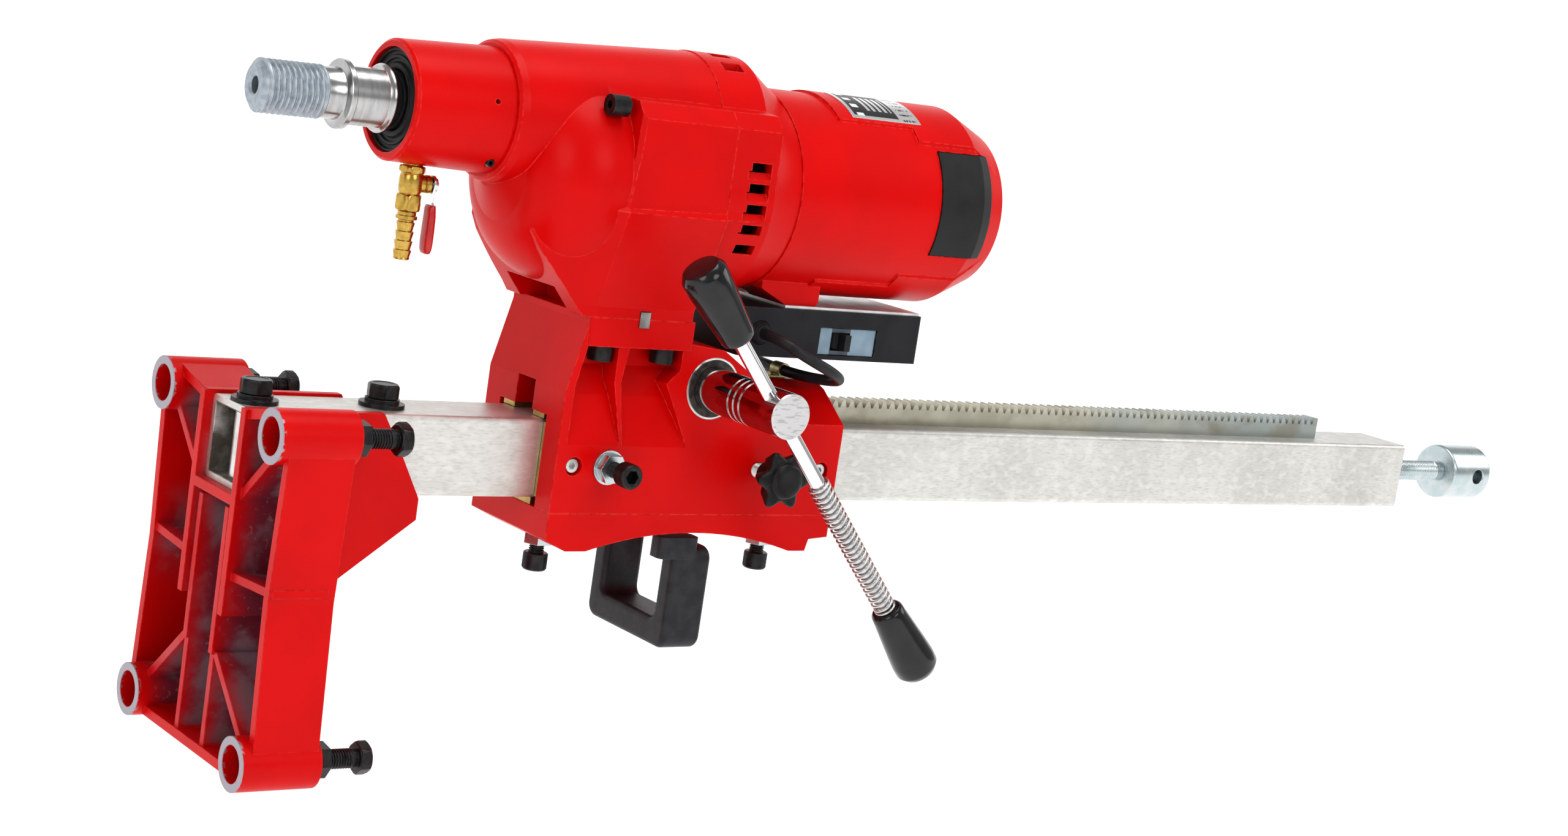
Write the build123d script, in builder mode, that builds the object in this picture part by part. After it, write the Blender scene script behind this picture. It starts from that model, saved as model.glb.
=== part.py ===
from build123d import *
import math
import os

# Core drill rig, lying with its column along X.  All lengths in millimetres.
# X runs from the base to the free end of the column, Z points to the drill motor,
# the origin is where the column axis meets the plane of the base's four ground rings.

os.makedirs("parts", exist_ok=True)

# ---------------------------------------------------------------- driving dimensions
column_side = 50.0
column_wall = 4.5
column_start = 10.5
column_length = 1000.0
slide_gap = 0.3          # between a guide pad and the column
run_gap = 0.05           # radial clearance of a turning or sliding round fit

boss_y = 74.5            # base bosses, half spacing across
boss_z_top = 20.5
boss_z_bottom = -171.0
boss_radius = 16.2
boss_bore = 11.2
boss_length = 50.0
base_deck_x = 42.0       # underside of the base deck
base_top_x = 48.0        # mounting side of the deck that carries the column
base_rim_x = 6.5
rib_width = 5.0
pocket_wall = 6.0

m12 = 6.0
m12_flats = 18.8
m12_head = 7.6
m12_nut = 10.0

rack_start = 236.0
rack_end = 924.0
rack_width = 14.0
rack_height = 16.0
gear_module = 2.25
pinion_teeth = 12

carriage_x = 317.0       # middle of the carriage at rest
carriage_half = 109.5
carriage_half_y = 46.0
channel_half = 28.5
seam_z = -30.0
plate_z = 94.0           # top of the machined motor seat

spindle_z = 209.0
spindle_thread = 15.875
motor_z = 177.5
motor_radius = 65.0
gear_seam_x = 292.0
fan_flare_x = 326.0
key_x = 256.0
key_width = 7.4
motor_start_x = 350.0
motor_end_x = 526.0

column_half = column_side / 2
column_end = column_start + column_length
rack_pitch_z = column_half + rack_height - gear_module
pinion_radius = gear_module * pinion_teeth / 2
pinion_z = rack_pitch_z + pinion_radius
rack_pitch = math.pi * gear_module


# ---------------------------------------------------------------- shared outlines
def save(piece, name):
    """Label a finished piece and write it to its own file."""
    piece.part.label = name
    export_step(piece.part, "parts/" + name + ".step")


def gear_points(teeth, module, phase, backlash=0.24, root=1.25, tip=1.0):
    """Outline of a spur gear with involute flanks; phase is the angle of one tooth."""
    pitch_r = teeth * module / 2
    base_r = pitch_r * math.cos(math.radians(20))
    tip_r = pitch_r + tip * module
    root_r = pitch_r - root * module
    involute = math.tan(math.radians(20)) - math.radians(20)
    half_pitch = math.pi / (2 * teeth) - backlash / (2 * pitch_r) + involute
    radii = [max(base_r, root_r) + (tip_r - max(base_r, root_r)) * k / 3 for k in range(4)]
    points = []
    for tooth in range(teeth):
        centre = phase + 2 * math.pi * tooth / teeth
        flank = []
        for radius in radii:
            pressure = math.acos(min(1.0, base_r / radius))
            flank.append((radius, half_pitch - (math.tan(pressure) - pressure)))
        if root_r < base_r:
            flank.insert(0, (root_r, 0.8 * half_pitch))
        for radius, angle in flank:
            points.append((radius * math.cos(centre - angle), radius * math.sin(centre - angle)))
        for radius, angle in reversed(flank):
            points.append((radius * math.cos(centre + angle), radius * math.sin(centre + angle)))
    return points


def across_x(x):
    """Plane square to X at a station; its own axes are Y and Z."""
    return Plane.YZ.offset(x)


def across_y(y):
    """Plane square to Y at a station, facing -Y; its own axes are X and Z."""
    return Plane.XZ.offset(-y)


# ================================================================ STAND
# Base casting: open underside, four bosses, a pocket that holds the column.
deck_outline = [
    (-88.0, boss_z_top), (-83.0, -75.0), (-88.0, boss_z_bottom), (-74.5, -184.0),
    (74.5, -184.0), (88.0, boss_z_bottom), (83.0, -75.0), (88.0, boss_z_top),
    (74.5, boss_z_top + 15.5), (pocket_wall + column_half, 27.0),
    (-pocket_wall - column_half, 27.0), (-74.5, boss_z_top + 15.5),
]
wing_outline = [
    (base_rim_x - 2.0, 26.5), (94.0, 26.5), (110.0, 0.0), (124.0, -25.0),
    (124.0, -38.0), (base_top_x, -96.0), (base_rim_x - 2.0, -96.0),
]
pocket_half = column_half + 0.1
wing_half = pocket_half + pocket_wall
web_z = -pocket_half - pocket_wall
boss_places = [
    (side * boss_y, level) for level in (boss_z_top, boss_z_bottom) for side in (-1, 1)
]
rib_lines = [
    ((18.0, web_z), (18.0, -182.0)), ((-18.0, web_z), (-18.0, -182.0)),
    ((18.0, -73.0), (84.0, -69.0)), ((-18.0, -73.0), (-84.0, -69.0)),
    ((28.0, -26.0), (66.0, 8.0)), ((-28.0, -26.0), (-66.0, 8.0)),
    ((18.0, -118.0), (66.0, -160.0)), ((-18.0, -118.0), (-66.0, -160.0)),
    ((28.0, -34.0), (28.0, 24.0)), ((-28.0, -34.0), (-28.0, 24.0)),
]
with BuildPart() as base_plate:
    with BuildSketch(across_x(base_rim_x)):
        with BuildLine():
            Polyline(*deck_outline, close=True)
        make_face()
    extrude(amount=base_top_x - base_rim_x)
    fillet(base_plate.edges().filter_by(Axis.X), radius=4.0)
    with BuildSketch(across_x(base_rim_x)):
        with BuildLine():
            Polyline(*deck_outline, close=True)
        make_face()
        offset(amount=-6.0, kind=Kind.INTERSECTION, mode=Mode.REPLACE)
    extrude(amount=base_deck_x - base_rim_x, mode=Mode.SUBTRACT)
    for start, end in rib_lines:
        middle = ((start[0] + end[0]) / 2, (start[1] + end[1]) / 2)
        span = math.dist(start, end)
        turn = math.degrees(math.atan2(end[1] - start[1], end[0] - start[0]))
        with BuildSketch(across_x(base_rim_x + 1.5)):
            with Locations(Location((middle[0], middle[1], 0), turn)):
                Rectangle(span, rib_width)
        extrude(amount=base_deck_x - base_rim_x)
    with BuildSketch(across_x(0)):
        with Locations(*boss_places):
            Circle(boss_radius)
    extrude(amount=boss_length)
    # side wings along the column, and the web below it
    with BuildSketch(across_y(0)):
        with BuildLine():
            Polyline(*wing_outline, close=True)
        make_face()
    extrude(amount=wing_half, both=True)
    with BuildSketch(across_y(0)):
        with BuildLine():
            Polyline((125.0, web_z), (125.0, -60.0), (base_top_x, -120.0), (-5.0, -120.0),
                     (-5.0, web_z), close=True)
        make_face()
    extrude(amount=wing_half - pocket_wall, both=True, mode=Mode.SUBTRACT)
    with BuildSketch(across_x(base_deck_x)):
        with Locations((0, -79.0)):
            Rectangle(2 * wing_half, 84.0)
    extrude(amount=base_top_x - base_deck_x)
    for side in (-1, 1):
        with BuildSketch(across_x(base_rim_x)):
            with Locations((side * 18.0, -78.0)):
                Rectangle(rib_width, 88.0)
        extrude(amount=base_deck_x - base_rim_x)
    # column pocket, boss bores and the two cross holes
    with BuildSketch(across_x(-1.0)):
        with Locations((0, 7.0)):
            Rectangle(2 * pocket_half, 2 * pocket_half + 14.0)
    extrude(amount=140.0, mode=Mode.SUBTRACT)
    with BuildSketch(across_x(0)):
        with Locations(*boss_places):
            Circle(boss_bore)
    extrude(amount=34.0, mode=Mode.SUBTRACT)
    with BuildSketch(across_x(0)):
        with Locations(*boss_places):
            Circle(m12 + run_gap)
    extrude(amount=boss_length + 1.0, mode=Mode.SUBTRACT)
    with BuildSketch(Plane.XY.offset(-80.0)):
        with Locations((24.5, 0), (108.0, 0)):
            Circle(m12 + 0.4)
    extrude(amount=60.0, mode=Mode.SUBTRACT)
save(base_plate, "base_plate")

with BuildPart() as column_tube:
    with BuildSketch(across_x(column_start)):
        RectangleRounded(column_side, column_side, 3.0)
        offset(amount=-column_wall, mode=Mode.SUBTRACT)
    extrude(amount=column_length)
    with BuildSketch(Plane.XY.offset(-column_half - 1)):
        with Locations((24.5, 0), (108.0, 0)):
            Circle(m12 + 0.3)
    extrude(amount=column_side + 2, mode=Mode.SUBTRACT)
save(column_tube, "column_tube")

column_bolt_x = (24.5, 108.0)
column_inside = column_half - column_wall
washer_top = column_half + 2.5
with BuildPart() as column_washers:
    with BuildSketch(Plane.XY.offset(column_half)):
        with Locations(*[(x, 0) for x in column_bolt_x]):
            Circle(14.0)
            Circle(m12 + 0.4, mode=Mode.SUBTRACT)
    extrude(amount=2.5)
    with BuildSketch(Plane.XY.offset(washer_top)):
        with Locations(*[(x, 0) for x in column_bolt_x]):
            Circle(10.6)
            Circle(m12 + 0.4, mode=Mode.SUBTRACT)
    extrude(amount=2.6)
save(column_washers, "column_washers")

bolt_seat = washer_top + 2.6
with BuildPart() as column_bolts:
    with BuildSketch(Plane.XY.offset(bolt_seat)):
        with Locations(*[(x, 0) for x in column_bolt_x]):
            RegularPolygon(m12_flats / 2, 6, major_radius=False, rotation=12)
    extrude(amount=m12_head + 1.4)
    chamfer(column_bolts.faces().group_by(Axis.Z)[-1].edges(), length=1.1)
    with BuildSketch(Plane.XY.offset(bolt_seat)):
        with Locations(*[(x, 0) for x in column_bolt_x]):
            Circle(m12)
    extrude(amount=-76.0)
save(column_bolts, "column_bolts")

with BuildPart() as column_spacers:
    with BuildSketch(Plane.XY.offset(-column_inside)):
        with Locations(*[(x, 0) for x in column_bolt_x]):
            Circle(10.0)
            Circle(m12 + 0.4, mode=Mode.SUBTRACT)
    extrude(amount=2 * column_inside)
save(column_spacers, "column_spacers")

with BuildPart() as column_nuts:
    with BuildSketch(Plane.XY.offset(web_z)):
        with Locations(*[(x, 0) for x in column_bolt_x]):
            RegularPolygon(m12_flats / 2, 6, major_radius=False)
            Circle(m12, mode=Mode.SUBTRACT)
    extrude(amount=-m12_nut)
save(column_nuts, "column_nuts")

# Rack with straight-sided teeth along its top face.
rack_middle = (rack_start + rack_end) / 2
rack_root_z = rack_pitch_z - 1.25 * gear_module
tooth_tan = math.tan(math.radians(20))
space_phase = carriage_x       # a tooth space stands under the pinion
tooth_count = int((rack_end - rack_start) / rack_pitch)
first_space = space_phase - math.floor((space_phase - rack_start) / rack_pitch) * rack_pitch
space_root = rack_pitch / 4 - 1.25 * gear_module * tooth_tan
space_tip = rack_pitch / 4 + gear_module * tooth_tan
with BuildPart() as gear_rack:
    with BuildSketch(across_x(rack_start)):
        with BuildLine():
            Polyline((-7.0, column_half), (7.0, column_half), (7.0, 41.0), (-7.0, 41.0), close=True)
        make_face()
    extrude(amount=rack_end - rack_start)
    with BuildSketch(across_y(0)):
        with Locations(*[(first_space + k * rack_pitch, rack_pitch_z) for k in range(tooth_count)]):
            Polygon((-space_root, -1.25 * gear_module), (space_root, -1.25 * gear_module),
                    (space_tip, gear_module + 0.01), (-space_tip, gear_module + 0.01), align=None)
    extrude(amount=rack_width, both=True, mode=Mode.SUBTRACT)
save(gear_rack, "gear_rack")

rack_screw_x = [rack_start + 20.0 + k * 129.6 for k in range(6)]
with BuildPart() as rack_screws:
    with BuildSketch(Plane.XY.offset(column_inside - 5.0)):
        with Locations(*[(x, 0) for x in rack_screw_x]):
            Circle(5.0)
    extrude(amount=5.0)
save(rack_screws, "rack_screws")

with BuildPart() as levelling_nuts:
    with BuildSketch(across_x(boss_length)):
        with Locations(*boss_places):
            RegularPolygon(m12_flats / 2, 6, major_radius=False, rotation=8)
            Circle(m12 + run_gap, mode=Mode.SUBTRACT)
    extrude(amount=m12_nut)
    chamfer(levelling_nuts.faces().group_by(Axis.X)[-1].edges().filter_by(GeomType.LINE), length=1.0)
save(levelling_nuts, "levelling_nuts")

levelling_names = ("near_top", "far_top", "near_bottom", "far_bottom")
screw_tip_x = 9.0
screw_head_x = 79.0
for (screw_y, screw_z), place in zip(boss_places, levelling_names):
    with BuildPart() as levelling_screw:
        with BuildSketch(across_x(screw_tip_x)):
            with Locations((screw_y, screw_z)):
                Circle(m12)
        extrude(amount=screw_head_x - screw_tip_x)
        chamfer(levelling_screw.faces().sort_by(Axis.X)[0].edges(), length=1.2)
        with BuildSketch(across_x(screw_head_x)):
            with Locations((screw_y, screw_z)):
                RegularPolygon(m12_flats / 2, 6, major_radius=False, rotation=21)
        extrude(amount=m12_head)
        chamfer(levelling_screw.faces().sort_by(Axis.X)[-1].edges(), length=1.1)
    save(levelling_screw, "levelling_screw_" + place)

# Jack screw at the free end, in a nut block that closes the tube.
jack_radius = 8.0
with BuildPart() as jack_nut_block:
    with BuildSketch(across_x(column_end - 34.0)):
        RectangleRounded(2 * column_inside - 0.2, 2 * column_inside - 0.2, 1.5)
        Circle(jack_radius + run_gap, mode=Mode.SUBTRACT)
    extrude(amount=31.0)
save(jack_nut_block, "jack_nut_block")

jack_head_x = 1082.0
jack_head_length = 44.0
with BuildPart() as jack_screw:
    with BuildSketch(across_x(900.0)):
        Circle(jack_radius)
    extrude(amount=jack_head_x - 900.0 + 6.0)
    with BuildSketch(across_x(jack_head_x)):
        Circle(21.5)
    extrude(amount=jack_head_length)
    chamfer(jack_screw.faces().sort_by(Axis.X)[-1].edges(), length=1.2)
    with BuildSketch(across_y(0)):
        with Locations((jack_head_x + 29.0, 0)):
            Circle(6.0)
    extrude(amount=25.0, both=True, mode=Mode.SUBTRACT)
save(jack_screw, "jack_screw")

# ================================================================ CARRIAGE
left_x = carriage_x - carriage_half
right_x = carriage_x + carriage_half
seat_left = 218.0
seat_right = 296.0
seat_bolts = [(x, y) for y in (-37.5, 37.5) for x in (234.0, 280.0)]
housing_profile = [
    (left_x, seam_z), (left_x, 46.0), (seat_left, plate_z - 4.0), (seat_left, plate_z),
    (seat_right, plate_z), (seat_right, 80.0), (322.0, 77.0), (340.0, 66.0), (353.0, 56.0),
    (374.0, 50.0),
    (374.0, seam_z),
]
shoulder_section = [
    (-carriage_half_y, seam_z), (-carriage_half_y, 31.0), (-19.0, 50.0), (-8.0, 54.0),
    (8.0, 54.0), (19.0, 50.0), (carriage_half_y, 31.0), (carriage_half_y, seam_z),
]
recess_top = plate_z - 18.0
recess_outlines = [
    [(219.5, recess_top), (242.0, recess_top), (242.0, 54.0), (251.5, 16.0), (251.5, 13.0),
     (214.0, 13.0), (214.0, 50.0)],
    [(250.0, recess_top), (290.0, recess_top), (290.0, 63.0), (281.0, 54.0), (301.5, 16.0), (301.5, 13.0),
     (254.5, 13.0), (253.5, 16.0), (247.0, 54.0)],
]
bearing_outer = 20.0
bearing_width = 12.0
# Ribbed recesses of the side walls: deep under the motor seat, running out at the bottom.
with BuildPart() as wall_recesses:
    with BuildSketch(across_y(0)):
        for outline in recess_outlines:
            with BuildLine():
                Polyline(*outline, close=True)
            make_face()
    extrude(amount=60.0, both=True)
    with BuildSketch(across_x(200.0)):
        for side in (-1, 1):
            with BuildLine():
                Polyline((side * 60.0, 13.5), (side * carriage_half_y, 13.5), (side * 37.0, 44.0),
                         (side * 29.0, 62.0), (side * 29.0, recess_top),
                         (side * 60.0, recess_top), close=True)
            make_face()
    extrude(amount=110.0, mode=Mode.INTERSECT)

with BuildPart() as carriage_housing:
    with BuildSketch(across_y(0)):
        with BuildLine():
            Polyline(*housing_profile, close=True)
        make_face()
    extrude(amount=carriage_half_y, both=True)
    with BuildSketch(across_x(340.0)):
        with BuildLine():
            Polyline(*shoulder_section, close=True)
        make_face()
    extrude(amount=right_x - 340.0)
    # overhanging flanges of the motor seat
    with BuildSketch(Plane.XY.offset(plate_z - 18.0)):
        with Locations(((seat_left + seat_right) / 2, 0)):
            RectangleRounded(seat_right - seat_left, 2 * 48.5, 3.0)
    extrude(amount=18.0)
    add(wall_recesses.part, mode=Mode.SUBTRACT)
    # channel for the column, tunnel for the rack, notch above it
    with BuildSketch(across_x(left_x - 1)):
        with Locations((0, (seam_z + channel_half) / 2 - 0.5)):
            Rectangle(2 * channel_half, channel_half - seam_z + 1.0)
        with Locations((0, 36.0)):
            Rectangle(21.0, 22.0)
    extrude(amount=2 * carriage_half + 2, mode=Mode.SUBTRACT)
    # pinion chamber and bearing seats
    with BuildSketch(across_y(0)):
        with Locations((carriage_x, pinion_z)):
            Circle(18.5)
    extrude(amount=14.0, both=True, mode=Mode.SUBTRACT)
    with BuildSketch(across_y(0)):
        with Locations((carriage_x, pinion_z)):
            Circle(12.0)
    extrude(amount=60.0, both=True, mode=Mode.SUBTRACT)
    for side in (-1, 1):
        with BuildSketch(across_y(side * 60.0)):
            with Locations((carriage_x, pinion_z)):
                Circle(bearing_outer)
        extrude(amount=side * 26.0, mode=Mode.SUBTRACT)
    # holes for adjusters, pad screws and the clamp stud
    with BuildSketch(across_y(0)):
        with Locations((246.0, 0), (361.5, 0)):
            Circle(5.1)
    extrude(amount=60.0, mode=Mode.SUBTRACT)
    with BuildSketch(across_y(-60.0)):
        with Locations((221.0, 0), (413.0, 0)):
            Circle(5.9)
    extrude(amount=-19.0, mode=Mode.SUBTRACT)
    with BuildSketch(across_y(-60.0)):
        with Locations((221.0, 0), (413.0, 0)):
            Circle(4.0)
    extrude(amount=-34.0, mode=Mode.SUBTRACT)
    # bolt holes and key slot of the motor seat
    with BuildSketch(Plane.XY.offset(60.0)):
        with Locations(*seat_bolts):
            Circle(5.2)
    extrude(amount=40.0, mode=Mode.SUBTRACT)
    with BuildSketch(Plane.XY.offset(plate_z - 5.0)):
        with Locations((key_x, 0)):
            Rectangle(key_width, 99.0)
    extrude(amount=6.0, mode=Mode.SUBTRACT)
save(carriage_housing, "carriage_housing")

with BuildPart() as lower_plate:
    with BuildSketch(across_y(0)):
        with BuildLine():
            Polyline((238.0, -54.0), (223.0, -54.0), (left_x, -47.0), (left_x, seam_z),
                     (right_x, seam_z), (right_x, -44.5), (right_x - 15.0, -46.0),
                     (right_x - 17.0, -54.0), (396.0, -54.0))
            ThreePointArc((396.0, -54.0), (carriage_x, -42.0), (238.0, -54.0))
        make_face()
    extrude(amount=carriage_half_y, both=True)
    with BuildSketch(Plane.XY.offset(-80.0)):
        with Locations((231.5, 0), (405.0, 0)):
            Circle(5.1)
    extrude(amount=60.0, mode=Mode.SUBTRACT)
    with BuildSketch(Plane.XY.offset(-56.0)):
        with Locations((231.5, 0), (405.0, 0)):
            Rectangle(20.0, 46.0)
    extrude(amount=8.0, mode=Mode.SUBTRACT)
save(lower_plate, "lower_plate")

pad_length = 46.0
pad_inner = column_half + slide_gap
pad_x = (left_x + pad_length / 2 + 0.5, right_x - pad_length / 2 - 0.5)
with BuildPart() as guide_pads:
    for x in pad_x:
        with BuildSketch(across_x(x - pad_length / 2)):
            with Locations((-(pad_inner + channel_half) / 2, 0), ((pad_inner + channel_half) / 2, 0)):
                Rectangle(channel_half - pad_inner, 47.0)
            with Locations((-18.0, (pad_inner + channel_half) / 2), (18.0, (pad_inner + channel_half) / 2)):
                Rectangle(13.0, channel_half - pad_inner)
            with Locations((0, (seam_z - pad_inner) / 2)):
                Rectangle(44.0, -seam_z - pad_inner)
        extrude(amount=pad_length)
save(guide_pads, "guide_pads")

with BuildPart() as adjuster_screws:
    with BuildSketch(Plane.XY.offset(seam_z)):
        with Locations((231.5, 0), (405.0, 0)):
            Circle(5.0)
    extrude(amount=-38.0)
    with BuildSketch(Plane.XY.offset(-66.0)):
        with Locations((231.5, 0), (405.0, 0)):
            Circle(8.0)
    extrude(amount=-11.5)
    with BuildSketch(Plane.XY.offset(-71.0)):
        with Locations((231.5, 0), (405.0, 0)):
            RegularPolygon(4.0, 6, major_radius=False)
    extrude(amount=-8.0, mode=Mode.SUBTRACT)
    with BuildSketch(across_y(-channel_half)):
        with Locations((246.0, 0)):
            Circle(5.0)
    extrude(amount=38.0)
    with BuildSketch(across_y(-64.0)):
        with Locations((246.0, 0)):
            Circle(8.0)
    extrude(amount=11.0)
    with BuildSketch(across_y(-69.0)):
        with Locations((246.0, 0)):
            RegularPolygon(4.0, 6, major_radius=False)
    extrude(amount=8.0, mode=Mode.SUBTRACT)
save(adjuster_screws, "adjuster_screws")

with BuildPart() as adjuster_nuts:
    with BuildSketch(Plane.XY.offset(-48.0)):
        with Locations((231.5, 0), (405.0, 0)):
            RegularPolygon(8.5, 6, major_radius=False)
            Circle(5.0, mode=Mode.SUBTRACT)
    extrude(amount=-12.0)
    with BuildSketch(across_y(-carriage_half_y)):
        with Locations((246.0, 0)):
            Circle(11.0)
            Circle(5.0, mode=Mode.SUBTRACT)
    extrude(amount=1.6)
    with BuildSketch(across_y(-carriage_half_y - 1.6)):
        with Locations((246.0, 0)):
            RegularPolygon(8.5, 6, major_radius=False)
            Circle(5.0, mode=Mode.SUBTRACT)
    extrude(amount=6.0)
save(adjuster_nuts, "adjuster_nuts")

with BuildPart() as pad_screws:
    with BuildSketch(across_y(-41.0)):
        with Locations((221.0, 0), (413.0, 0)):
            Circle(4.4)
            RegularPolygon(2.0, 6, major_radius=False, mode=Mode.SUBTRACT)
    extrude(amount=3.0)
    with BuildSketch(across_y(-channel_half)):
        with Locations((221.0, 0), (413.0, 0)):
            Circle(4.0)
    extrude(amount=12.5)
save(pad_screws, "pad_screws")

# Crosswise carrying handle under the carriage.
handle_left = 306.0
handle_width = 30.0
with BuildPart() as carrying_handle:
    with BuildSketch(across_x(handle_left)):
        with Locations((0, -86.0)):
            RectangleRounded(92.0, 68.0, 9.0)
        with Locations((0, -72.0)):
            RectangleRounded(62.0, 60.0, 6.0, mode=Mode.SUBTRACT)
        with Locations((0, -40.0)):
            Rectangle(100.0, 24.0, mode=Mode.SUBTRACT)
    extrude(amount=handle_width)
    fillet(carrying_handle.edges().filter_by(lambda e: e.length > 20 and e.geom_type == GeomType.LINE)
           .filter_by(Plane.YZ), radius=4.0)
    with BuildSketch(Plane.XY.offset(-45.5)):
        with Locations((310.0, -38.5), (310.0, 38.5)):
            RectangleRounded(30.0, 15.0, 5.0)
    extrude(amount=-14.0)
save(carrying_handle, "carrying_handle")

# Pinion shaft bearings, one in each side wall, with sunk shields on the outside.
with BuildPart() as pinion_bearings:
    for side in (-1, 1):
        with BuildSketch(across_y(side * carriage_half_y)):
            with Locations((carriage_x, pinion_z)):
                Circle(bearing_outer)
                Circle(8.5 + run_gap, mode=Mode.SUBTRACT)
        extrude(amount=side * bearing_width)
        with BuildSketch(across_y(side * carriage_half_y)):
            with Locations((carriage_x, pinion_z)):
                Circle(17.2)
                Circle(12.4, mode=Mode.SUBTRACT)
        extrude(amount=side * 0.9, mode=Mode.SUBTRACT)
save(pinion_bearings, "pinion_bearings")

with BuildPart() as locating_key:
    with BuildSketch(Plane.XY.offset(plate_z - 5.0)):
        with Locations((key_x, 0)):
            Rectangle(key_width, 98.6)
    extrude(amount=10.0)
save(locating_key, "locating_key")

with BuildPart() as seat_screws:
    with BuildSketch(Plane.XY.offset(recess_top - 10.0)):
        with Locations(*seat_bolts):
            Circle(7.8)
    extrude(amount=10.0)
    with BuildSketch(Plane.XY.offset(recess_top - 10.0)):
        with Locations(*seat_bolts):
            RegularPolygon(4.0, 6, major_radius=False)
    extrude(amount=5.0, mode=Mode.SUBTRACT)
    with BuildSketch(Plane.XY.offset(recess_top - 5.0)):
        with Locations(*seat_bolts):
            Circle(5.0)
    extrude(amount=41.0)
save(seat_screws, "seat_screws")

# ---------------------------------------------------------------- feed crank
hub_radius = 14.4
hub_start = 47.0
hub_end = 131.0
bar_y = -118.0
bar_radius = 5.0
bar_turn = -49.2
shaft_tooth_half = 8.0
pinion_outline = gear_points(pinion_teeth, gear_module, -math.pi / 2)
with BuildPart() as pinion_shaft:
    with BuildSketch(across_y(0)):
        with Locations((carriage_x, pinion_z)):
            Polygon(*pinion_outline, align=None)
    extrude(amount=shaft_tooth_half, both=True)
    with BuildSketch(across_y(50.0)):
        with Locations((carriage_x, pinion_z)):
            Circle(8.5)
    extrude(amount=50.0 + hub_start)
    with BuildSketch(across_y(-hub_start)):
        with Locations((carriage_x, pinion_z)):
            Circle(hub_radius)
    extrude(amount=hub_end - hub_start)
    for groove_y in (-82.0, -88.0, -94.0):
        with BuildSketch(across_y(groove_y)):
            with Locations((carriage_x, pinion_z)):
                Circle(hub_radius + 1)
                Circle(hub_radius - 0.7, mode=Mode.SUBTRACT)
        extrude(amount=1.6, mode=Mode.SUBTRACT)
    chamfer(pinion_shaft.faces().sort_by(Axis.Y)[0].edges(), length=0.8)
    with Locations(Location((carriage_x, bar_y, pinion_z), (0, 90.0 - bar_turn, 0))):
        Cylinder(bar_radius + run_gap, 60.0, mode=Mode.SUBTRACT)
save(pinion_shaft, "pinion_shaft")

bar_axis = Plane(origin=(carriage_x, bar_y, pinion_z),
                 x_dir=(0, 1, 0),
                 z_dir=(math.cos(math.radians(bar_turn)), 0, math.sin(math.radians(bar_turn))))
bar_upper = -72.0
bar_lower = 190.0
with BuildPart() as crank_bar:
    with BuildSketch(bar_axis.offset(bar_upper)):
        Circle(bar_radius)
    extrude(amount=bar_lower - bar_upper)
save(crank_bar, "crank_bar")

knob_profile = [(0, 0), (8.8, 0), (10.9, 1.8), (14.8, 44.0), (14.6, 50.0), (11.2, 54.8), (0, 55.6)]
for start, sense, place in ((-58.0, -1, "upper"), (167.0, 1, "lower")):
    knob_plane = Plane(origin=bar_axis.offset(start).origin, x_dir=(0, 1, 0),
                       z_dir=bar_axis.z_dir * sense)
    side_plane = Plane(origin=knob_plane.origin, x_dir=knob_plane.x_dir,
                       z_dir=knob_plane.x_dir.cross(knob_plane.z_dir))
    with BuildPart() as crank_knob:
        with BuildSketch(side_plane):
            with BuildLine():
                Polyline(*[(r, h) for r, h in knob_profile], close=True)
            make_face()
        revolve(axis=Axis(knob_plane.origin, knob_plane.z_dir))
        with BuildSketch(knob_plane):
            Circle(bar_radius)
        extrude(amount=abs(abs(bar_lower if sense > 0 else bar_upper) - abs(start)), mode=Mode.SUBTRACT)
    save(crank_knob, "crank_knob_" + place)

spring_start = 59.0
with BuildPart() as crank_spring:
    with BuildSketch(bar_axis.offset(spring_start)):
        Circle(7.4)
        Circle(bar_radius + 0.8, mode=Mode.SUBTRACT)
    extrude(amount=166.8 - spring_start)
save(crank_spring, "crank_spring")

# ---------------------------------------------------------------- clamp knob
clamp_x = 361.5
with BuildPart() as clamp_stud:
    with BuildSketch(across_y(-channel_half - 0.4)):
        with Locations((clamp_x, 0)):
            Circle(5.0)
    extrude(amount=40.0)
save(clamp_stud, "clamp_stud")

with BuildPart() as clamp_knob:
    with BuildSketch(across_y(-62.0)):
        with Locations((clamp_x, 0)):
            Circle(16.0)
            with PolarLocations(15.0, 6):
                Circle(5.4)
            with PolarLocations(20.5, 6, start_angle=30):
                Circle(5.0, mode=Mode.SUBTRACT)
            Circle(5.0, mode=Mode.SUBTRACT)
    extrude(amount=15.0)
    with BuildSketch(across_y(-77.0)):
        with Locations((clamp_x, 0)):
            Circle(12.0)
    extrude(amount=4.0)
    with BuildSketch(across_y(-55.0)):
        with Locations((clamp_x, 0)):
            Circle(8.0)
            Circle(5.0, mode=Mode.SUBTRACT)
    extrude(amount=7.0)
save(clamp_knob, "clamp_knob")

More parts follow.
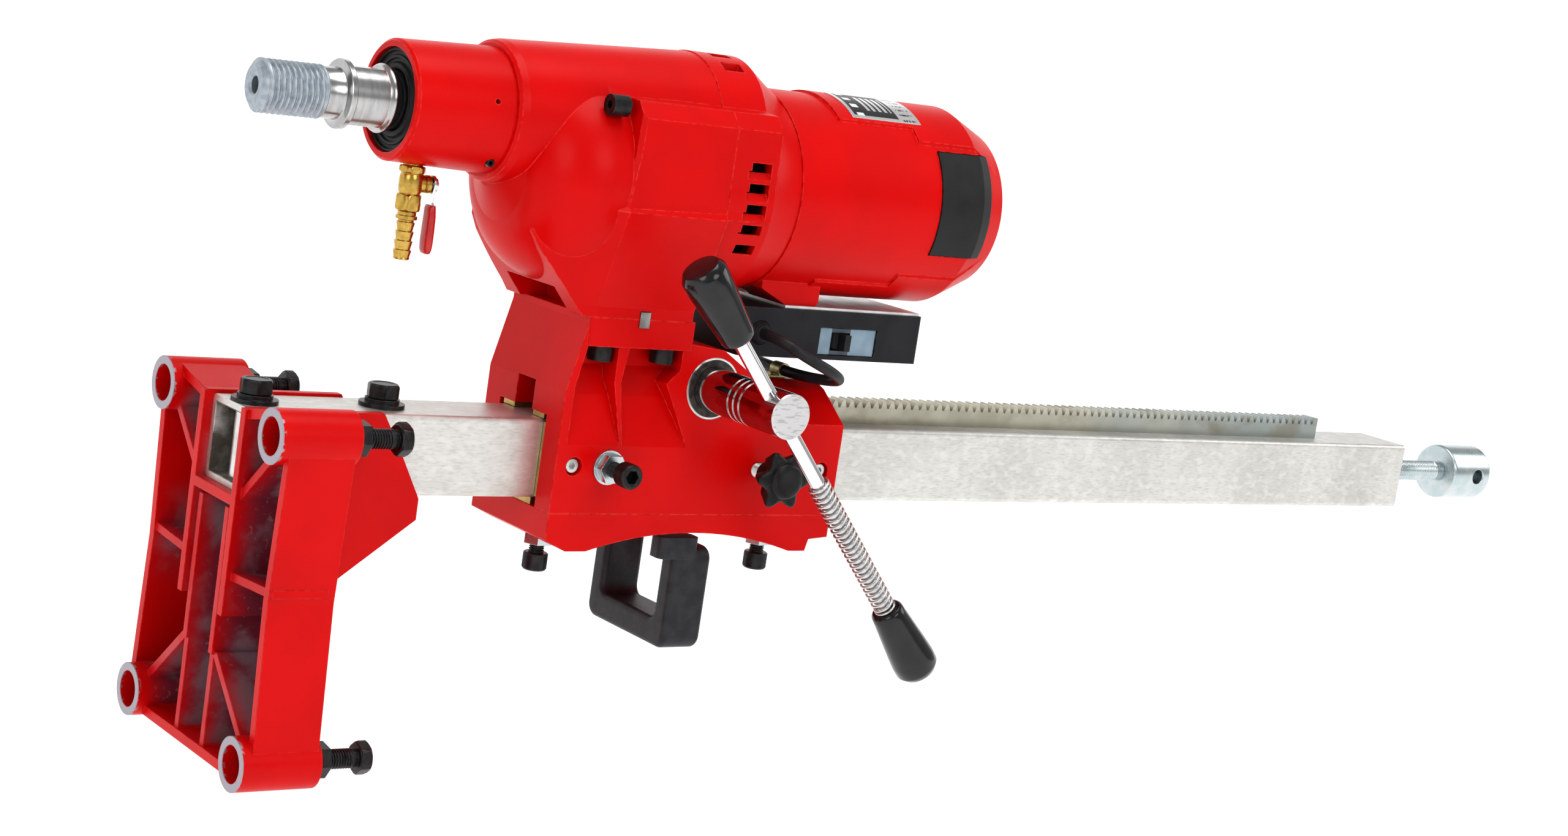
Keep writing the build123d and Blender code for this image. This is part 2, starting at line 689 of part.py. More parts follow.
# ================================================================ DRILL UNIT
# Spindle with its drive gear.
spindle_gear_teeth = 40
spindle_gear_module = 1.75
spindle_gear_x = 222.0
spindle_gear_width = 18.0
with BuildPart() as spindle:
    with BuildSketch(across_y(0)):
        with BuildLine():
            Polyline((0, spindle_z), (0, spindle_z + 12.5), (4.5, spindle_z + spindle_thread),
                     (38.5, spindle_z + spindle_thread), (39.5, spindle_z + 15.2),
                     (53.0, spindle_z + 15.2), (53.0, spindle_z + 20.6), (56.5, spindle_z + 20.6),
                     (56.5, spindle_z + 19.0), (78.0, spindle_z + 19.0), (80.0, spindle_z + 20.6),
                     (82.0, spindle_z + 20.6), (82.0, spindle_z + 17.5), (118.0, spindle_z + 17.5),
                     (118.0, spindle_z + 15.0), (243.0, spindle_z + 15.0), (243.0, spindle_z + 10.0),
                     (287.0, spindle_z + 10.0), (287.0, spindle_z), close=True)
        make_face()
    revolve(axis=Axis((0, 0, spindle_z), (1, 0, 0)))
    with BuildSketch(across_x(56.5)):
        with Locations((0, spindle_z)):
            Circle(24.0)
            Rectangle(50.0, 34.0, mode=Mode.SUBTRACT)
    extrude(amount=21.5, mode=Mode.SUBTRACT)
    with BuildSketch(across_x(0)):
        with Locations((0, spindle_z)):
            Circle(5.0)
    extrude(amount=200.0, mode=Mode.SUBTRACT)
save(spindle, "spindle")

with BuildPart() as spindle_gear:
    with BuildSketch(across_x(spindle_gear_x)):
        with Locations((0, spindle_z)):
            Polygon(*gear_points(spindle_gear_teeth, spindle_gear_module, 0.0), align=None)
            Circle(15.0, mode=Mode.SUBTRACT)
    extrude(amount=spindle_gear_width)
save(spindle_gear, "spindle_gear")

# Intermediate shaft: its centre is set by the two gear pairs.
motor_pinion_teeth = 10
large_gear_teeth = 44
first_module = 1.25
small_gear_teeth = 14
first_centre = first_module * (motor_pinion_teeth + large_gear_teeth) / 2
second_centre = spindle_gear_module * (small_gear_teeth + spindle_gear_teeth) / 2
drop = spindle_z - motor_z
layshaft_z = ((spindle_z ** 2 - motor_z ** 2) - (second_centre ** 2 - first_centre ** 2)) / (2 * drop)
layshaft_y = math.sqrt(first_centre ** 2 - (layshaft_z - motor_z) ** 2)
to_motor = math.atan2(motor_z - layshaft_z, -layshaft_y)
to_spindle = math.atan2(spindle_z - layshaft_z, -layshaft_y)
large_gear_x = 256.0


def meshing_phase(mate_teeth, mate_phase, teeth, direction):
    """Phase of a gear whose mate lies at the given direction, so that a tooth meets a space."""
    mate_pitch = 2 * math.pi / mate_teeth
    slip = (direction + math.pi - mate_phase) / mate_pitch
    return direction + math.pi / teeth + slip * 2 * math.pi / teeth


small_phase = meshing_phase(spindle_gear_teeth, 0.0, small_gear_teeth, to_spindle)
large_phase = 0.0
motor_phase = meshing_phase(large_gear_teeth, large_phase, motor_pinion_teeth, to_motor + math.pi)
with BuildPart() as layshaft:
    with BuildSketch(across_x(205.0)):
        with Locations((layshaft_y, layshaft_z)):
            Circle(7.5)
    extrude(amount=80.0)
    with BuildSketch(across_x(spindle_gear_x - 2.0)):
        with Locations((layshaft_y, layshaft_z)):
            Polygon(*gear_points(small_gear_teeth, spindle_gear_module, small_phase), align=None)
    extrude(amount=spindle_gear_width + 4.0)
    with BuildSketch(across_x(large_gear_x)):
        with Locations((layshaft_y, layshaft_z)):
            Polygon(*gear_points(large_gear_teeth, first_module, large_phase), align=None)
    extrude(amount=14.0)
save(layshaft, "layshaft")

armature_start = 252.0
with BuildPart() as armature:
    with BuildSketch(across_x(armature_start)):
        with Locations((0, motor_z)):
            Polygon(*gear_points(motor_pinion_teeth, first_module, motor_phase), align=None)
    extrude(amount=22.0)
    for start, end, radius in ((armature_start + 22.0, 366.0, 6.0), (366.0, 430.0, 26.0),
                               (430.0, 446.0, 9.0), (446.0, 474.0, 17.0), (474.0, 506.0, 6.0)):
        with BuildSketch(across_x(start)):
            with Locations((0, motor_z)):
                Circle(radius)
        extrude(amount=end - start)
    with BuildSketch(across_x(366.0)):
        with Locations((0, motor_z)):
            with PolarLocations(25.5, 16):
                Rectangle(4.0, 2.2)
    extrude(amount=64.0, mode=Mode.SUBTRACT)
save(armature, "armature")

fan_start = 312.0
with BuildPart() as cooling_fan:
    with BuildSketch(across_x(fan_start)):
        with Locations((0, motor_z)):
            Circle(50.0)
            Circle(6.0, mode=Mode.SUBTRACT)
    extrude(amount=2.5)
    with BuildSketch(across_x(fan_start + 2.5)):
        with Locations((0, motor_z)):
            Circle(12.0)
            with PolarLocations(30.0, 12):
                Rectangle(37.0, 2.2)
            Circle(6.0, mode=Mode.SUBTRACT)
    extrude(amount=14.0)
save(cooling_fan, "cooling_fan")

# Nose casting round the spindle.
nose_front = 87.0
nose_rear = 152.0
with BuildPart() as spindle_nose:
    with BuildSketch(across_y(0)):
        with BuildLine():
            Polyline((nose_front, spindle_z + 31.2), (nose_front, spindle_z + 34.6),
                     (nose_front + 1.6, spindle_z + 36.2), (nose_rear, spindle_z + 38.4),
                     (nose_rear, spindle_z + 30.0), (124.0, spindle_z + 30.0),
                     (124.0, spindle_z + 31.2), close=True)
        make_face()
    revolve(axis=Axis((0, 0, spindle_z), (1, 0, 0)))
    with BuildSketch(across_y(0)):
        with Locations((139.0, spindle_z + 8.0)):
            Circle(1.6)
        with Locations((146.0, spindle_z - 29.5)):
            Circle(2.6)
    extrude(amount=60.0, mode=Mode.SUBTRACT)
    with BuildSketch(Plane.XY.offset(spindle_z)):
        with Locations((108.5, 0)):
            Circle(6.0)
    extrude(amount=-60.0, mode=Mode.SUBTRACT)
save(spindle_nose, "spindle_nose")

with BuildPart() as spindle_seal:
    with BuildSketch(across_y(0)):
        with BuildLine():
            Polyline((89.0, spindle_z + 18.6), (90.5, spindle_z + 17.75), (96.0, spindle_z + 17.75),
                     (96.0, spindle_z + 31.2), (89.0, spindle_z + 31.2), (89.0, spindle_z + 28.6),
                     (91.0, spindle_z + 27.6), (91.0, spindle_z + 23.4), (89.0, spindle_z + 22.4),
                     close=True)
        make_face()
    revolve(axis=Axis((0, 0, spindle_z), (1, 0, 0)))
save(spindle_seal, "spindle_seal")

with BuildPart() as spindle_bearings:
    for start, bore, outer, width in ((125.0, 15.0, 29.9, 16.0), (gear_seam_x - 12.0, 10.0, 15.0, 7.0)):
        with BuildSketch(across_x(start)):
            with Locations((0, spindle_z)):
                Circle(outer)
                Circle(bore + run_gap, mode=Mode.SUBTRACT)
        extrude(amount=width)
save(spindle_bearings, "spindle_bearings")

# Gearbox casting: a cone round the spindle, a bulb round the motor axis, a foot and side panels.
bulb_z = 175.0
case_wall = 5.0
bulb_arc = [(168.0, bulb_z + 32.0), (181.0, bulb_z + 56.0), (208.0, bulb_z + 67.5)]
bore_arc = [(176.0, bulb_z + 30.0), (187.0, bulb_z + 50.0), (210.0, bulb_z + 62.3)]
panel_half_y = 68.4      # flat side panels of gearbox and fan housing
ridge_half_y = 71.0      # ridge under the gearbox's panels
foot_half_y = 48.5
# Foot: its flanks fall from the ridge to the carriage's seat and narrow towards the nose.
with BuildPart() as gearbox_foot:
    for x, waist, ridge, low in ((174.0, 34.0, 38.0, 34.0), (220.0, 64.0, ridge_half_y - 0.5, foot_half_y),
                                 (gear_seam_x, 66.0, ridge_half_y, foot_half_y)):
        with BuildSketch(across_x(x)):
            with BuildLine():
                Polyline((-low, plate_z), (-low, 101.0), (-ridge, 162.0), (-waist, 169.0),
                         (waist, 169.0), (ridge, 162.0), (low, 101.0), (low, plate_z), close=True)
            make_face()
    loft(ruled=True)
    with BuildSketch(across_y(0)):
        with BuildLine():
            Polyline((174.0, 170.0), (174.0, 142.0), (180.0, 132.0), (213.0, plate_z - 1.0),
                     (gear_seam_x, plate_z - 1.0), (gear_seam_x, 170.0), close=True)
        make_face()
    extrude(amount=100.0, both=True, mode=Mode.INTERSECT)

# Flat side panels with a bevelled front edge and a bevelled ledge on top.
with BuildPart() as side_panels:
    with BuildSketch(across_y(0)):
        with BuildLine():
            Polyline((217.0, 162.0), (221.5, 198.0), (222.5, 229.0), (fan_flare_x, 232.0),
                     (fan_flare_x, 162.0), close=True)
        make_face()
    extrude(amount=panel_half_y, both=True)
    with BuildSketch(across_x(200.0)):
        with BuildLine():
            Polyline((-panel_half_y, 150.0), (-panel_half_y, 219.0), (-60.0, 228.5), (-30.0, 231.5),
                     (30.0, 231.5), (60.0, 228.5), (panel_half_y, 219.0), (panel_half_y, 150.0),
                     close=True)
        make_face()
    extrude(amount=140.0, mode=Mode.INTERSECT)
    chamfer(side_panels.faces().filter_by(lambda f: abs(abs(f.center().Y) - panel_half_y) < 0.1)
            .edges().filter_by(lambda e: e.center().X < 222.4 and abs(e.tangent_at(0.5).Y) < 0.1
                               and e.center().Z > 164.0), length=2.6)

panel_split = Plane.YZ.offset(gear_seam_x)
gearbox_panels = side_panels.part.split(panel_split, keep=Keep.BOTTOM)
fan_panels = side_panels.part.split(panel_split, keep=Keep.TOP)
with BuildPart() as gearbox_housing:
    with BuildSketch(across_y(0)):
        with BuildLine():
            Polyline((nose_rear, spindle_z), (nose_rear, spindle_z + 40.5), (153.5, spindle_z + 42.5),
                     (158.0, spindle_z + 43.5), (gear_seam_x, spindle_z + 50.5),
                     (gear_seam_x, spindle_z), close=True)
        make_face()
    revolve(axis=Axis((0, 0, spindle_z), (1, 0, 0)))
    with BuildSketch(across_y(0)):
        with BuildLine():
            Polyline(bulb_arc[2], (gear_seam_x, bulb_z + 67.5), (gear_seam_x, bulb_z),
                     (160.0, bulb_z), (160.0, bulb_z + 12.0), bulb_arc[0])
            ThreePointArc(*bulb_arc)
        make_face()
    revolve(axis=Axis((0, 0, bulb_z), (1, 0, 0)))
    with BuildSketch(across_x(212.0)):
        with Locations((0, spindle_z)):
            Circle(46.0)
        with Locations((0, bulb_z)):
            Circle(67.5)
        make_hull()
    extrude(amount=gear_seam_x - 212.0)
    # flanks, foot and the front part of the side panels
    add(gearbox_foot.part)
    add(gearbox_panels)
    # inside: gear chamber open to the rear, spindle bore, foot recess open to the front
    with BuildSketch(across_y(0)):
        with BuildLine():
            Polyline(bore_arc[2], (gear_seam_x + 1, bulb_z + 63.5), (gear_seam_x + 1, bulb_z),
                     (176.0, bulb_z), bore_arc[0])
            ThreePointArc(*bore_arc)
        make_face()
    revolve(axis=Axis((0, 0, bulb_z), (1, 0, 0)), mode=Mode.SUBTRACT)
    with BuildSketch(across_x(190.0)):
        with Locations((0, spindle_z)):
            Circle(40.0)
    extrude(amount=110.0, mode=Mode.SUBTRACT)
    with BuildSketch(across_x(140.0)):
        with Locations((0, spindle_z)):
            Circle(30.0)
    extrude(amount=60.0, mode=Mode.SUBTRACT)
    with BuildSketch(across_x(150.0)):
        with Locations((0, 98.0)):
            Rectangle(58.0, 21.0)
    extrude(amount=82.0, mode=Mode.SUBTRACT)
    with BuildSketch(Plane.XY.offset(plate_z)):
        with Locations(*seat_bolts):
            Circle(5.1)
    extrude(amount=19.0, mode=Mode.SUBTRACT)
    with BuildSketch(Plane.XY.offset(plate_z)):
        with Locations((key_x, 0)):
            Rectangle(key_width + 0.2, 100.0)
    extrude(amount=5.2, mode=Mode.SUBTRACT)
save(gearbox_housing, "gearbox_housing")

# Plate between gearbox and fan: carries the motor-side bearings.
with BuildPart() as bearing_plate:
    with BuildSketch(across_x(gear_seam_x - 12.0)):
        with Locations((0, bulb_z)):
            Circle(62.0)
    extrude(amount=12.0)
    with BuildSketch(across_x(gear_seam_x - 14.0)):
        with Locations((0, motor_z)):
            Circle(14.0)
        with Locations((layshaft_y, layshaft_z)):
            Circle(13.0)
    extrude(amount=20.0, mode=Mode.SUBTRACT)
    with BuildSketch(across_x(gear_seam_x - 14.0)):
        with Locations((0, spindle_z)):
            Circle(15.0)
    extrude(amount=9.0, mode=Mode.SUBTRACT)
save(bearing_plate, "bearing_plate")

bearing_seats = (
    (gear_seam_x - 12.0, 0.0, motor_z, 6.0, 14.0, 10.0),
    (gear_seam_x - 12.0, layshaft_y, layshaft_z, 7.5, 13.0, 10.0),
    (492.0, 0.0, motor_z, 6.0, 14.0, 10.0),
)
with BuildPart() as drive_bearings:
    for start, y, z, bore, outer, width in bearing_seats:
        with BuildSketch(across_x(start)):
            with Locations((y, z)):
                Circle(outer)
                Circle(bore + run_gap, mode=Mode.SUBTRACT)
        extrude(amount=width)
save(drive_bearings, "drive_bearings")

# Fan housing between gearbox and motor, with louvred slots on both flanks and slots on top.
fan_side = 68.8
slot_levels = (194.0, 181.0, 168.0, 155.0, 142.0)
with BuildPart() as fan_housing:
    with BuildSketch(across_x(gear_seam_x)):
        with Locations((0, spindle_z)):
            Circle(51.0)
        with Locations((0, bulb_z)):
            Circle(fan_side)
        make_hull()
    extrude(amount=fan_flare_x - gear_seam_x)
    add(fan_panels)
    with BuildSketch(across_x(fan_flare_x)) as flare_start:
        with Locations((0, spindle_z)):
            Circle(51.0)
        with Locations((0, bulb_z)):
            Circle(fan_side)
        make_hull()
    with BuildSketch(across_x(motor_start_x)) as flare_end:
        with Locations((0, spindle_z - 12.0)):
            Circle(47.0)
        with Locations((0, motor_z)):
            Circle(motor_radius - 1.0)
        make_hull()
    loft()
    with BuildSketch(across_x(gear_seam_x - 1.0)):
        with Locations((0, bulb_z + 1.5)):
            Circle(64.0)
    extrude(amount=fan_flare_x - gear_seam_x + 1.0, mode=Mode.SUBTRACT)
    with BuildSketch(across_x(fan_flare_x)):
        with Locations((0, motor_z)):
            Circle(55.0)
    extrude(amount=40.0, mode=Mode.SUBTRACT)
    for level in slot_levels:
        with BuildSketch(across_x(306.0)):
            with Locations((0, level + 2.0)):
                Rectangle(180.0, 6.0)
        extrude(amount=15.0, mode=Mode.SUBTRACT)
    # each louvre slopes back under its slot
    for side in (-1, 1):
        for level in slot_levels:
            with BuildSketch(across_x(304.0)):
                with BuildLine():
                    Polyline((side * 58.0, level), (side * 90.0, level), (side * 90.0, level - 6.4),
                             (side * 69.0, level - 6.4), (side * 65.6, level - 0.6), close=True)
                make_face()
            extrude(amount=17.0, mode=Mode.SUBTRACT)
    for side in (-24.0, -8.0, 8.0, 24.0):
        with BuildSketch(Plane.XY.offset(236.0)):
            with Locations((311.0, side)):
                Rectangle(15.0, 8.0)
        extrude(amount=40.0, mode=Mode.SUBTRACT)
save(fan_housing, "fan_housing")

# Motor housing with a chamfered rear and a raised pad for the name plate.
label_start = 401.0
label_length = 57.0
pad_radius = motor_radius + 1.6
cover_start = 464.0
cover_end = 522.0
lead_boss_x = 400.0
lead_boss_y = 54.0
lead_boss_z = 128.0
with BuildPart() as motor_housing:
    with BuildSketch(across_y(0)):
        with BuildLine():
            Polyline((motor_start_x, motor_z), (motor_start_x, motor_z + motor_radius),
                     (498.0, motor_z + motor_radius), (motor_end_x, motor_z + 54.0),
                     (motor_end_x, motor_z), close=True)
        make_face()
    revolve(axis=Axis((0, 0, motor_z), (1, 0, 0)))
    # raised crown and keel: narrow under the name plate, wider towards the rear
    for start, end, half_width in ((label_start - 12.0, 450.0, 40.0), (450.0, 520.0, 49.0)):
        with BuildSketch(across_x(start)):
            with Locations((0, motor_z)):
                Circle(pad_radius)
                Rectangle(2 * half_width, 150.0, mode=Mode.INTERSECT)
                Rectangle(150.0, 50.0, mode=Mode.SUBTRACT)
        extrude(amount=end - start)
    with BuildSketch(across_y(0)):
        with BuildLine():
            Polyline((494.0, motor_z + motor_radius + 3.0), (motor_end_x, motor_z + 54.0),
                     (motor_end_x, motor_z + 90.0), (494.0, motor_z + 90.0), close=True)
        make_face()
    revolve(axis=Axis((0, 0, motor_z), (1, 0, 0)), mode=Mode.SUBTRACT)
    with BuildSketch(across_x(motor_start_x - 1.0)):
        with Locations((0, motor_z)):
            Circle(motor_radius - 5.0)
    extrude(amount=130.0, mode=Mode.SUBTRACT)
    with BuildSketch(across_x(470.0)):
        with Locations((0, motor_z)):
            Circle(48.0)
    extrude(amount=22.0, mode=Mode.SUBTRACT)
    with BuildSketch(across_x(480.0)):
        with Locations((0, motor_z)):
            Circle(14.0)
    extrude(amount=34.0, mode=Mode.SUBTRACT)
    # windows for the brush covers
    with BuildSketch(across_x(cover_start)):
        with Locations((0, motor_z + 6.0)):
            Rectangle(200.0, 68.0)
        with Locations((0, motor_z)):
            Circle(motor_radius - 3.0, mode=Mode.SUBTRACT)
    extrude(amount=cover_end - cover_start, mode=Mode.SUBTRACT)
    # foot for the switch bracket
    with BuildSketch(across_y(-34.0)):
        with BuildLine():
            Polyline((352.0, 126.0), (352.0, 117.0), (372.0, 107.5), (397.0, 107.5), (399.0, 109.5),
                     (399.0, 126.0), close=True)
        make_face()
    extrude(amount=-40.0)
    # boss for the lead on the far flank
    with BuildSketch(Plane.XY.offset(lead_boss_z)):
        with Locations((lead_boss_x, lead_boss_y)):
            Circle(10.0)
    extrude(amount=22.0)
    with BuildSketch(across_x(350.0)):
        with Locations((0, motor_z)):
            Circle(motor_radius - 5.0)
    extrude(amount=100.0, mode=Mode.SUBTRACT)
save(motor_housing, "motor_housing")

for side, place in ((-1, "near"), (1, "far")):
    with BuildPart() as brush_cover:
        with BuildSketch(across_x(cover_start + 0.3)):
            with Locations((0, motor_z)):
                Circle(motor_radius + 1.0)
            with Locations((side * 50.0, motor_z + 6.0)):
                Rectangle(100.0, 67.4, mode=Mode.INTERSECT)
            with Locations((0, motor_z)):
                Circle(motor_radius - 2.9, mode=Mode.SUBTRACT)
        extrude(amount=cover_end - cover_start - 0.6)
        with BuildSketch(across_y(0)):
            with BuildLine():
                Polyline((496.0, motor_z + motor_radius + 2.5), (540.0, motor_z + 49.8),
                         (540.0, motor_z + 90.0), (496.0, motor_z + 90.0), close=True)
            make_face()
        revolve(axis=Axis((0, 0, motor_z), (1, 0, 0)), mode=Mode.SUBTRACT)
    save(brush_cover, "brush_cover_" + place)

with BuildPart() as carbon_brushes:
    for side in (-1, 1):
        with BuildSketch(across_y(side * 17.4)):
            with Locations((460.0, motor_z)):
                Rectangle(12.0, 8.0)
        extrude(amount=-side * 24.0)
save(carbon_brushes, "carbon_brushes")

with BuildPart() as stator_core:
    with BuildSketch(across_x(368.0)):
        with Locations((0, motor_z)):
            Circle(motor_radius - 5.0)
            Circle(27.5, mode=Mode.SUBTRACT)
            with PolarLocations(40.0, 2, start_angle=90):
                Rectangle(16.0, 44.0, mode=Mode.SUBTRACT)
    extrude(amount=60.0)
save(stator_core, "stator_core")

with BuildPart() as name_plate:
    with BuildSketch(across_x(label_start)):
        with Locations((0, motor_z)):
            Circle(pad_radius + 0.6)
            Circle(pad_radius, mode=Mode.SUBTRACT)
        with Locations((-21.0, motor_z + 70.0)):
            Rectangle(34.0, 60.0, mode=Mode.INTERSECT)
    extrude(amount=label_length)
save(name_plate, "name_plate")

with BuildPart() as case_screws:
    with BuildSketch(across_x(204.0)):
        with Locations((-56.0, 224.0), (56.0, 224.0)):
            Circle(6.5)
            RegularPolygon(2.5, 6, major_radius=False, mode=Mode.SUBTRACT)
    extrude(amount=12.0)
    with BuildSketch(across_y(-22.0)):
        with Locations((146.0, spindle_z - 29.5)):
            Circle(2.5)
            RegularPolygon(1.2, 6, major_radius=False, mode=Mode.SUBTRACT)
    extrude(amount=4.0)
save(case_screws, "case_screws")

# ---------------------------------------------------------------- water valve under the nose
valve_x = 108.5
with BuildPart() as valve_body:
    with BuildSketch(across_y(0)):
        with BuildLine():
            Polyline((valve_x, 181.0), (valve_x + 6.0, 181.0), (valve_x + 6.0, 171.0),
                     (valve_x + 8.2, 171.0), (valve_x + 8.2, 167.5), (valve_x + 7.2, 166.5),
                     (valve_x + 7.2, 153.5), (valve_x + 8.0, 152.5), (valve_x + 8.0, 144.5),
                     (valve_x + 6.6, 144.0), (valve_x + 6.6, 139.0), (valve_x + 4.6, 138.5),
                     (valve_x + 5.6, 133.0), (valve_x + 4.6, 132.5), (valve_x + 5.6, 127.0),
                     (valve_x + 4.6, 126.5), (valve_x + 5.6, 121.0), (valve_x + 4.6, 120.5),
                     (valve_x + 5.0, 115.0), (valve_x, 115.0), close=True)
        make_face()
    revolve(axis=Axis((valve_x, 0, 0), (0, 0, 1)))
    with BuildSketch(across_x(valve_x)):
        with Locations((0, 161.0)):
            Circle(5.6)
    extrude(amount=12.5)
    with BuildSketch(Plane.XY.offset(100.0)):
        with Locations((valve_x, 0)):
            Circle(3.2)
    extrude(amount=90.0, mode=Mode.SUBTRACT)
    with BuildSketch(across_x(valve_x)):
        with Locations((0, 161.0)):
            Circle(3.6)
    extrude(amount=20.0, mode=Mode.SUBTRACT)
save(valve_body, "valve_body")

with BuildPart() as valve_lever:
    with BuildSketch(across_x(valve_x + 3.8)):
        with Locations((0, 161.0)):
            Circle(3.55)
    extrude(amount=13.7)
    with BuildSketch(across_x(valve_x + 13.0)):
        with Locations((0, 161.0)):
            Circle(6.0)
    extrude(amount=2.0)
    with BuildSketch(across_x(valve_x + 13.0)):
        with Locations((0, 153.0)):
            Rectangle(6.0, 14.0)
    extrude(amount=2.0)
    with BuildSketch(across_x(valve_x + 12.0)):
        with Locations((0, 134.0)):
            RectangleRounded(11.0, 30.0, 4.0)
    extrude(amount=8.0)
save(valve_lever, "valve_lever")

# ---------------------------------------------------------------- switch box
box_left = 336.0
box_right = 484.0
box_front = -40.0
box_back = 32.0
box_low = 73.5
box_high = 105.5
box_mid_y = (box_front + box_back) / 2
window_left = 400.0
window_right = 447.0
breaker_width = 17.6
breaker_z = 85.6
gland_x = 352.0
gland_z = 89.0
with BuildPart() as switch_bracket:
    with BuildSketch(Plane.XY.offset(box_high)):
        with Locations(((372.0 + box_right) / 2 - 2.0, box_mid_y)):
            Rectangle(box_right - 372.0, box_back - box_front - 4.0)
    extrude(amount=2.0)
    with BuildSketch(Plane.XY.offset(box_high - 10.0)):
        with Locations((385.0, -14.0)):
            Circle(3.0)
    extrude(amount=14.0, mode=Mode.SUBTRACT)
save(switch_bracket, "switch_bracket")

with BuildPart() as switch_box:
    with BuildSketch(Plane.XY.offset(box_low)):
        with Locations(((box_left + box_right) / 2, box_mid_y)):
            RectangleRounded(box_right - box_left, box_back - box_front, 3.0)
    extrude(amount=box_high - box_low)
    with BuildSketch(Plane.XY.offset(box_low + 3.0)):
        with Locations(((box_left + box_right) / 2, box_mid_y)):
            RectangleRounded(box_right - box_left - 6.0, box_back - box_front - 6.0, 2.0)
    extrude(amount=box_high - box_low - 5.5, mode=Mode.SUBTRACT)
    with BuildSketch(across_y(box_front - 1.0)):
        with Locations(((window_left + window_right) / 2, breaker_z)):
            Rectangle(window_right - window_left, breaker_width + 0.8)
    extrude(amount=-8.0, mode=Mode.SUBTRACT)
    with BuildSketch(across_y(box_front - 1.0)):
        with Locations((gland_x, gland_z)):
            Circle(8.0)
    extrude(amount=-8.0, mode=Mode.SUBTRACT)
save(switch_box, "switch_box")

toggle_y = box_front + 6.0
with BuildPart() as breaker_body:
    with BuildSketch(across_y(box_front + 1.2)):
        with Locations(((window_left + window_right) / 2, breaker_z)):
            Rectangle(window_right - window_left - 0.6, breaker_width)
    extrude(amount=-56.0)
    with BuildSketch(across_y(box_front)):
        with Locations((418.0, breaker_z)):
            Rectangle(15.0, 12.0)
    extrude(amount=-16.0, mode=Mode.SUBTRACT)
save(breaker_body, "breaker_body")

with BuildPart() as breaker_toggle:
    with BuildSketch(Plane.XY.offset(breaker_z - 5.4)):
        with Locations((418.0, toggle_y + 3.0)):
            Circle(5.6)
        with Locations((420.0, toggle_y - 4.0)):
            Rectangle(4.6, 14.0)
    extrude(amount=10.8)
save(breaker_toggle, "breaker_toggle")

# Lead from the switch box to the clip on the carriage, then up into the motor's far side.
lead_radius = 3.6
clip_x = 402.0
clip_z = 59.0
with BuildPart() as cable_glands:
    with BuildSketch(across_y(box_front + 3.0)):
        with Locations((gland_x, gland_z)):
            Circle(9.6)
            Circle(lead_radius, mode=Mode.SUBTRACT)
    extrude(amount=-4.0)
    with BuildSketch(across_y(box_front + 3.0)):
        with Locations((gland_x, gland_z)):
            Circle(7.8)
            Circle(lead_radius, mode=Mode.SUBTRACT)
    extrude(amount=7.0)
    with BuildSketch(Plane.XY.offset(lead_boss_z)):
        with Locations((lead_boss_x, lead_boss_y)):
            RegularPolygon(8.5, 6, major_radius=False)
            Circle(lead_radius, mode=Mode.SUBTRACT)
    extrude(amount=-8.0)
    with BuildSketch(Plane.XY.offset(lead_boss_z - 8.0)):
        with Locations((lead_boss_x, lead_boss_y)):
            Circle(6.5)
            Circle(lead_radius, mode=Mode.SUBTRACT)
    extrude(amount=-6.0)
save(cable_glands, "cable_glands")

lead_route = [
    (gland_x, box_front + 3.0, gland_z), (gland_x, -60.0, gland_z), (366.0, -73.0, 80.0),
    (390.0, -76.0, 70.0), (409.0, -58.0, 62.0), (clip_x, -26.0, clip_z), (clip_x, 22.0, clip_z),
    (402.0, 46.0, 62.0), (401.0, 58.0, 80.0), (400.0, lead_boss_y, 102.0),
    (lead_boss_x, lead_boss_y, lead_boss_z),
]
corners = [Vector(*point) for point in lead_route]
lead_bends = []
for before, corner, after in zip(corners, corners[1:], corners[2:]):
    turn = (corner - before).get_angle(after - corner)
    run = min((corner - before).length, (after - corner).length)
    lead_bends.append(0.45 * run / math.tan(math.radians(turn / 2)))
print("lead bend radii", [round(bend, 1) for bend in lead_bends])
with BuildLine() as lead_path:
    FilletPolyline(*lead_route, radius=lead_bends)
with BuildPart() as motor_lead:
    with BuildSketch(Plane(origin=corners[0], z_dir=corners[1] - corners[0])):
        Circle(lead_radius)
    sweep(path=lead_path.wire())
print("lead volume ratio", motor_lead.part.volume / (math.pi * lead_radius ** 2 * lead_path.wire().length))
print("lead length", lead_path.wire().length)
save(motor_lead, "motor_lead")

clip_outer = lead_radius + 1.3
with BuildPart() as cable_clip:
    with BuildSketch(across_y(0)):
        with Locations((clip_x, clip_z)):
            Circle(clip_outer)
        with Locations((clip_x - 8.0, 54.7)):
            Rectangle(16.0, 1.4)
        with Locations((clip_x, clip_z)):
            Circle(lead_radius, mode=Mode.SUBTRACT)
    extrude(amount=5.0, both=True)
    with BuildSketch(Plane.XY.offset(55.4)):
        with Locations((clip_x - 11.0, 0)):
            Circle(4.0)
    extrude(amount=2.4)
save(cable_clip, "cable_clip")
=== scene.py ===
"""Looks of a rack-fed core drill rig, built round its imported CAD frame; pieces are drawn in mm."""

import logging
import math
from collections.abc import Callable, Iterable, Sequence
from dataclasses import dataclass, field
from enum import Enum

import bpy
from mathutils import Matrix, Vector


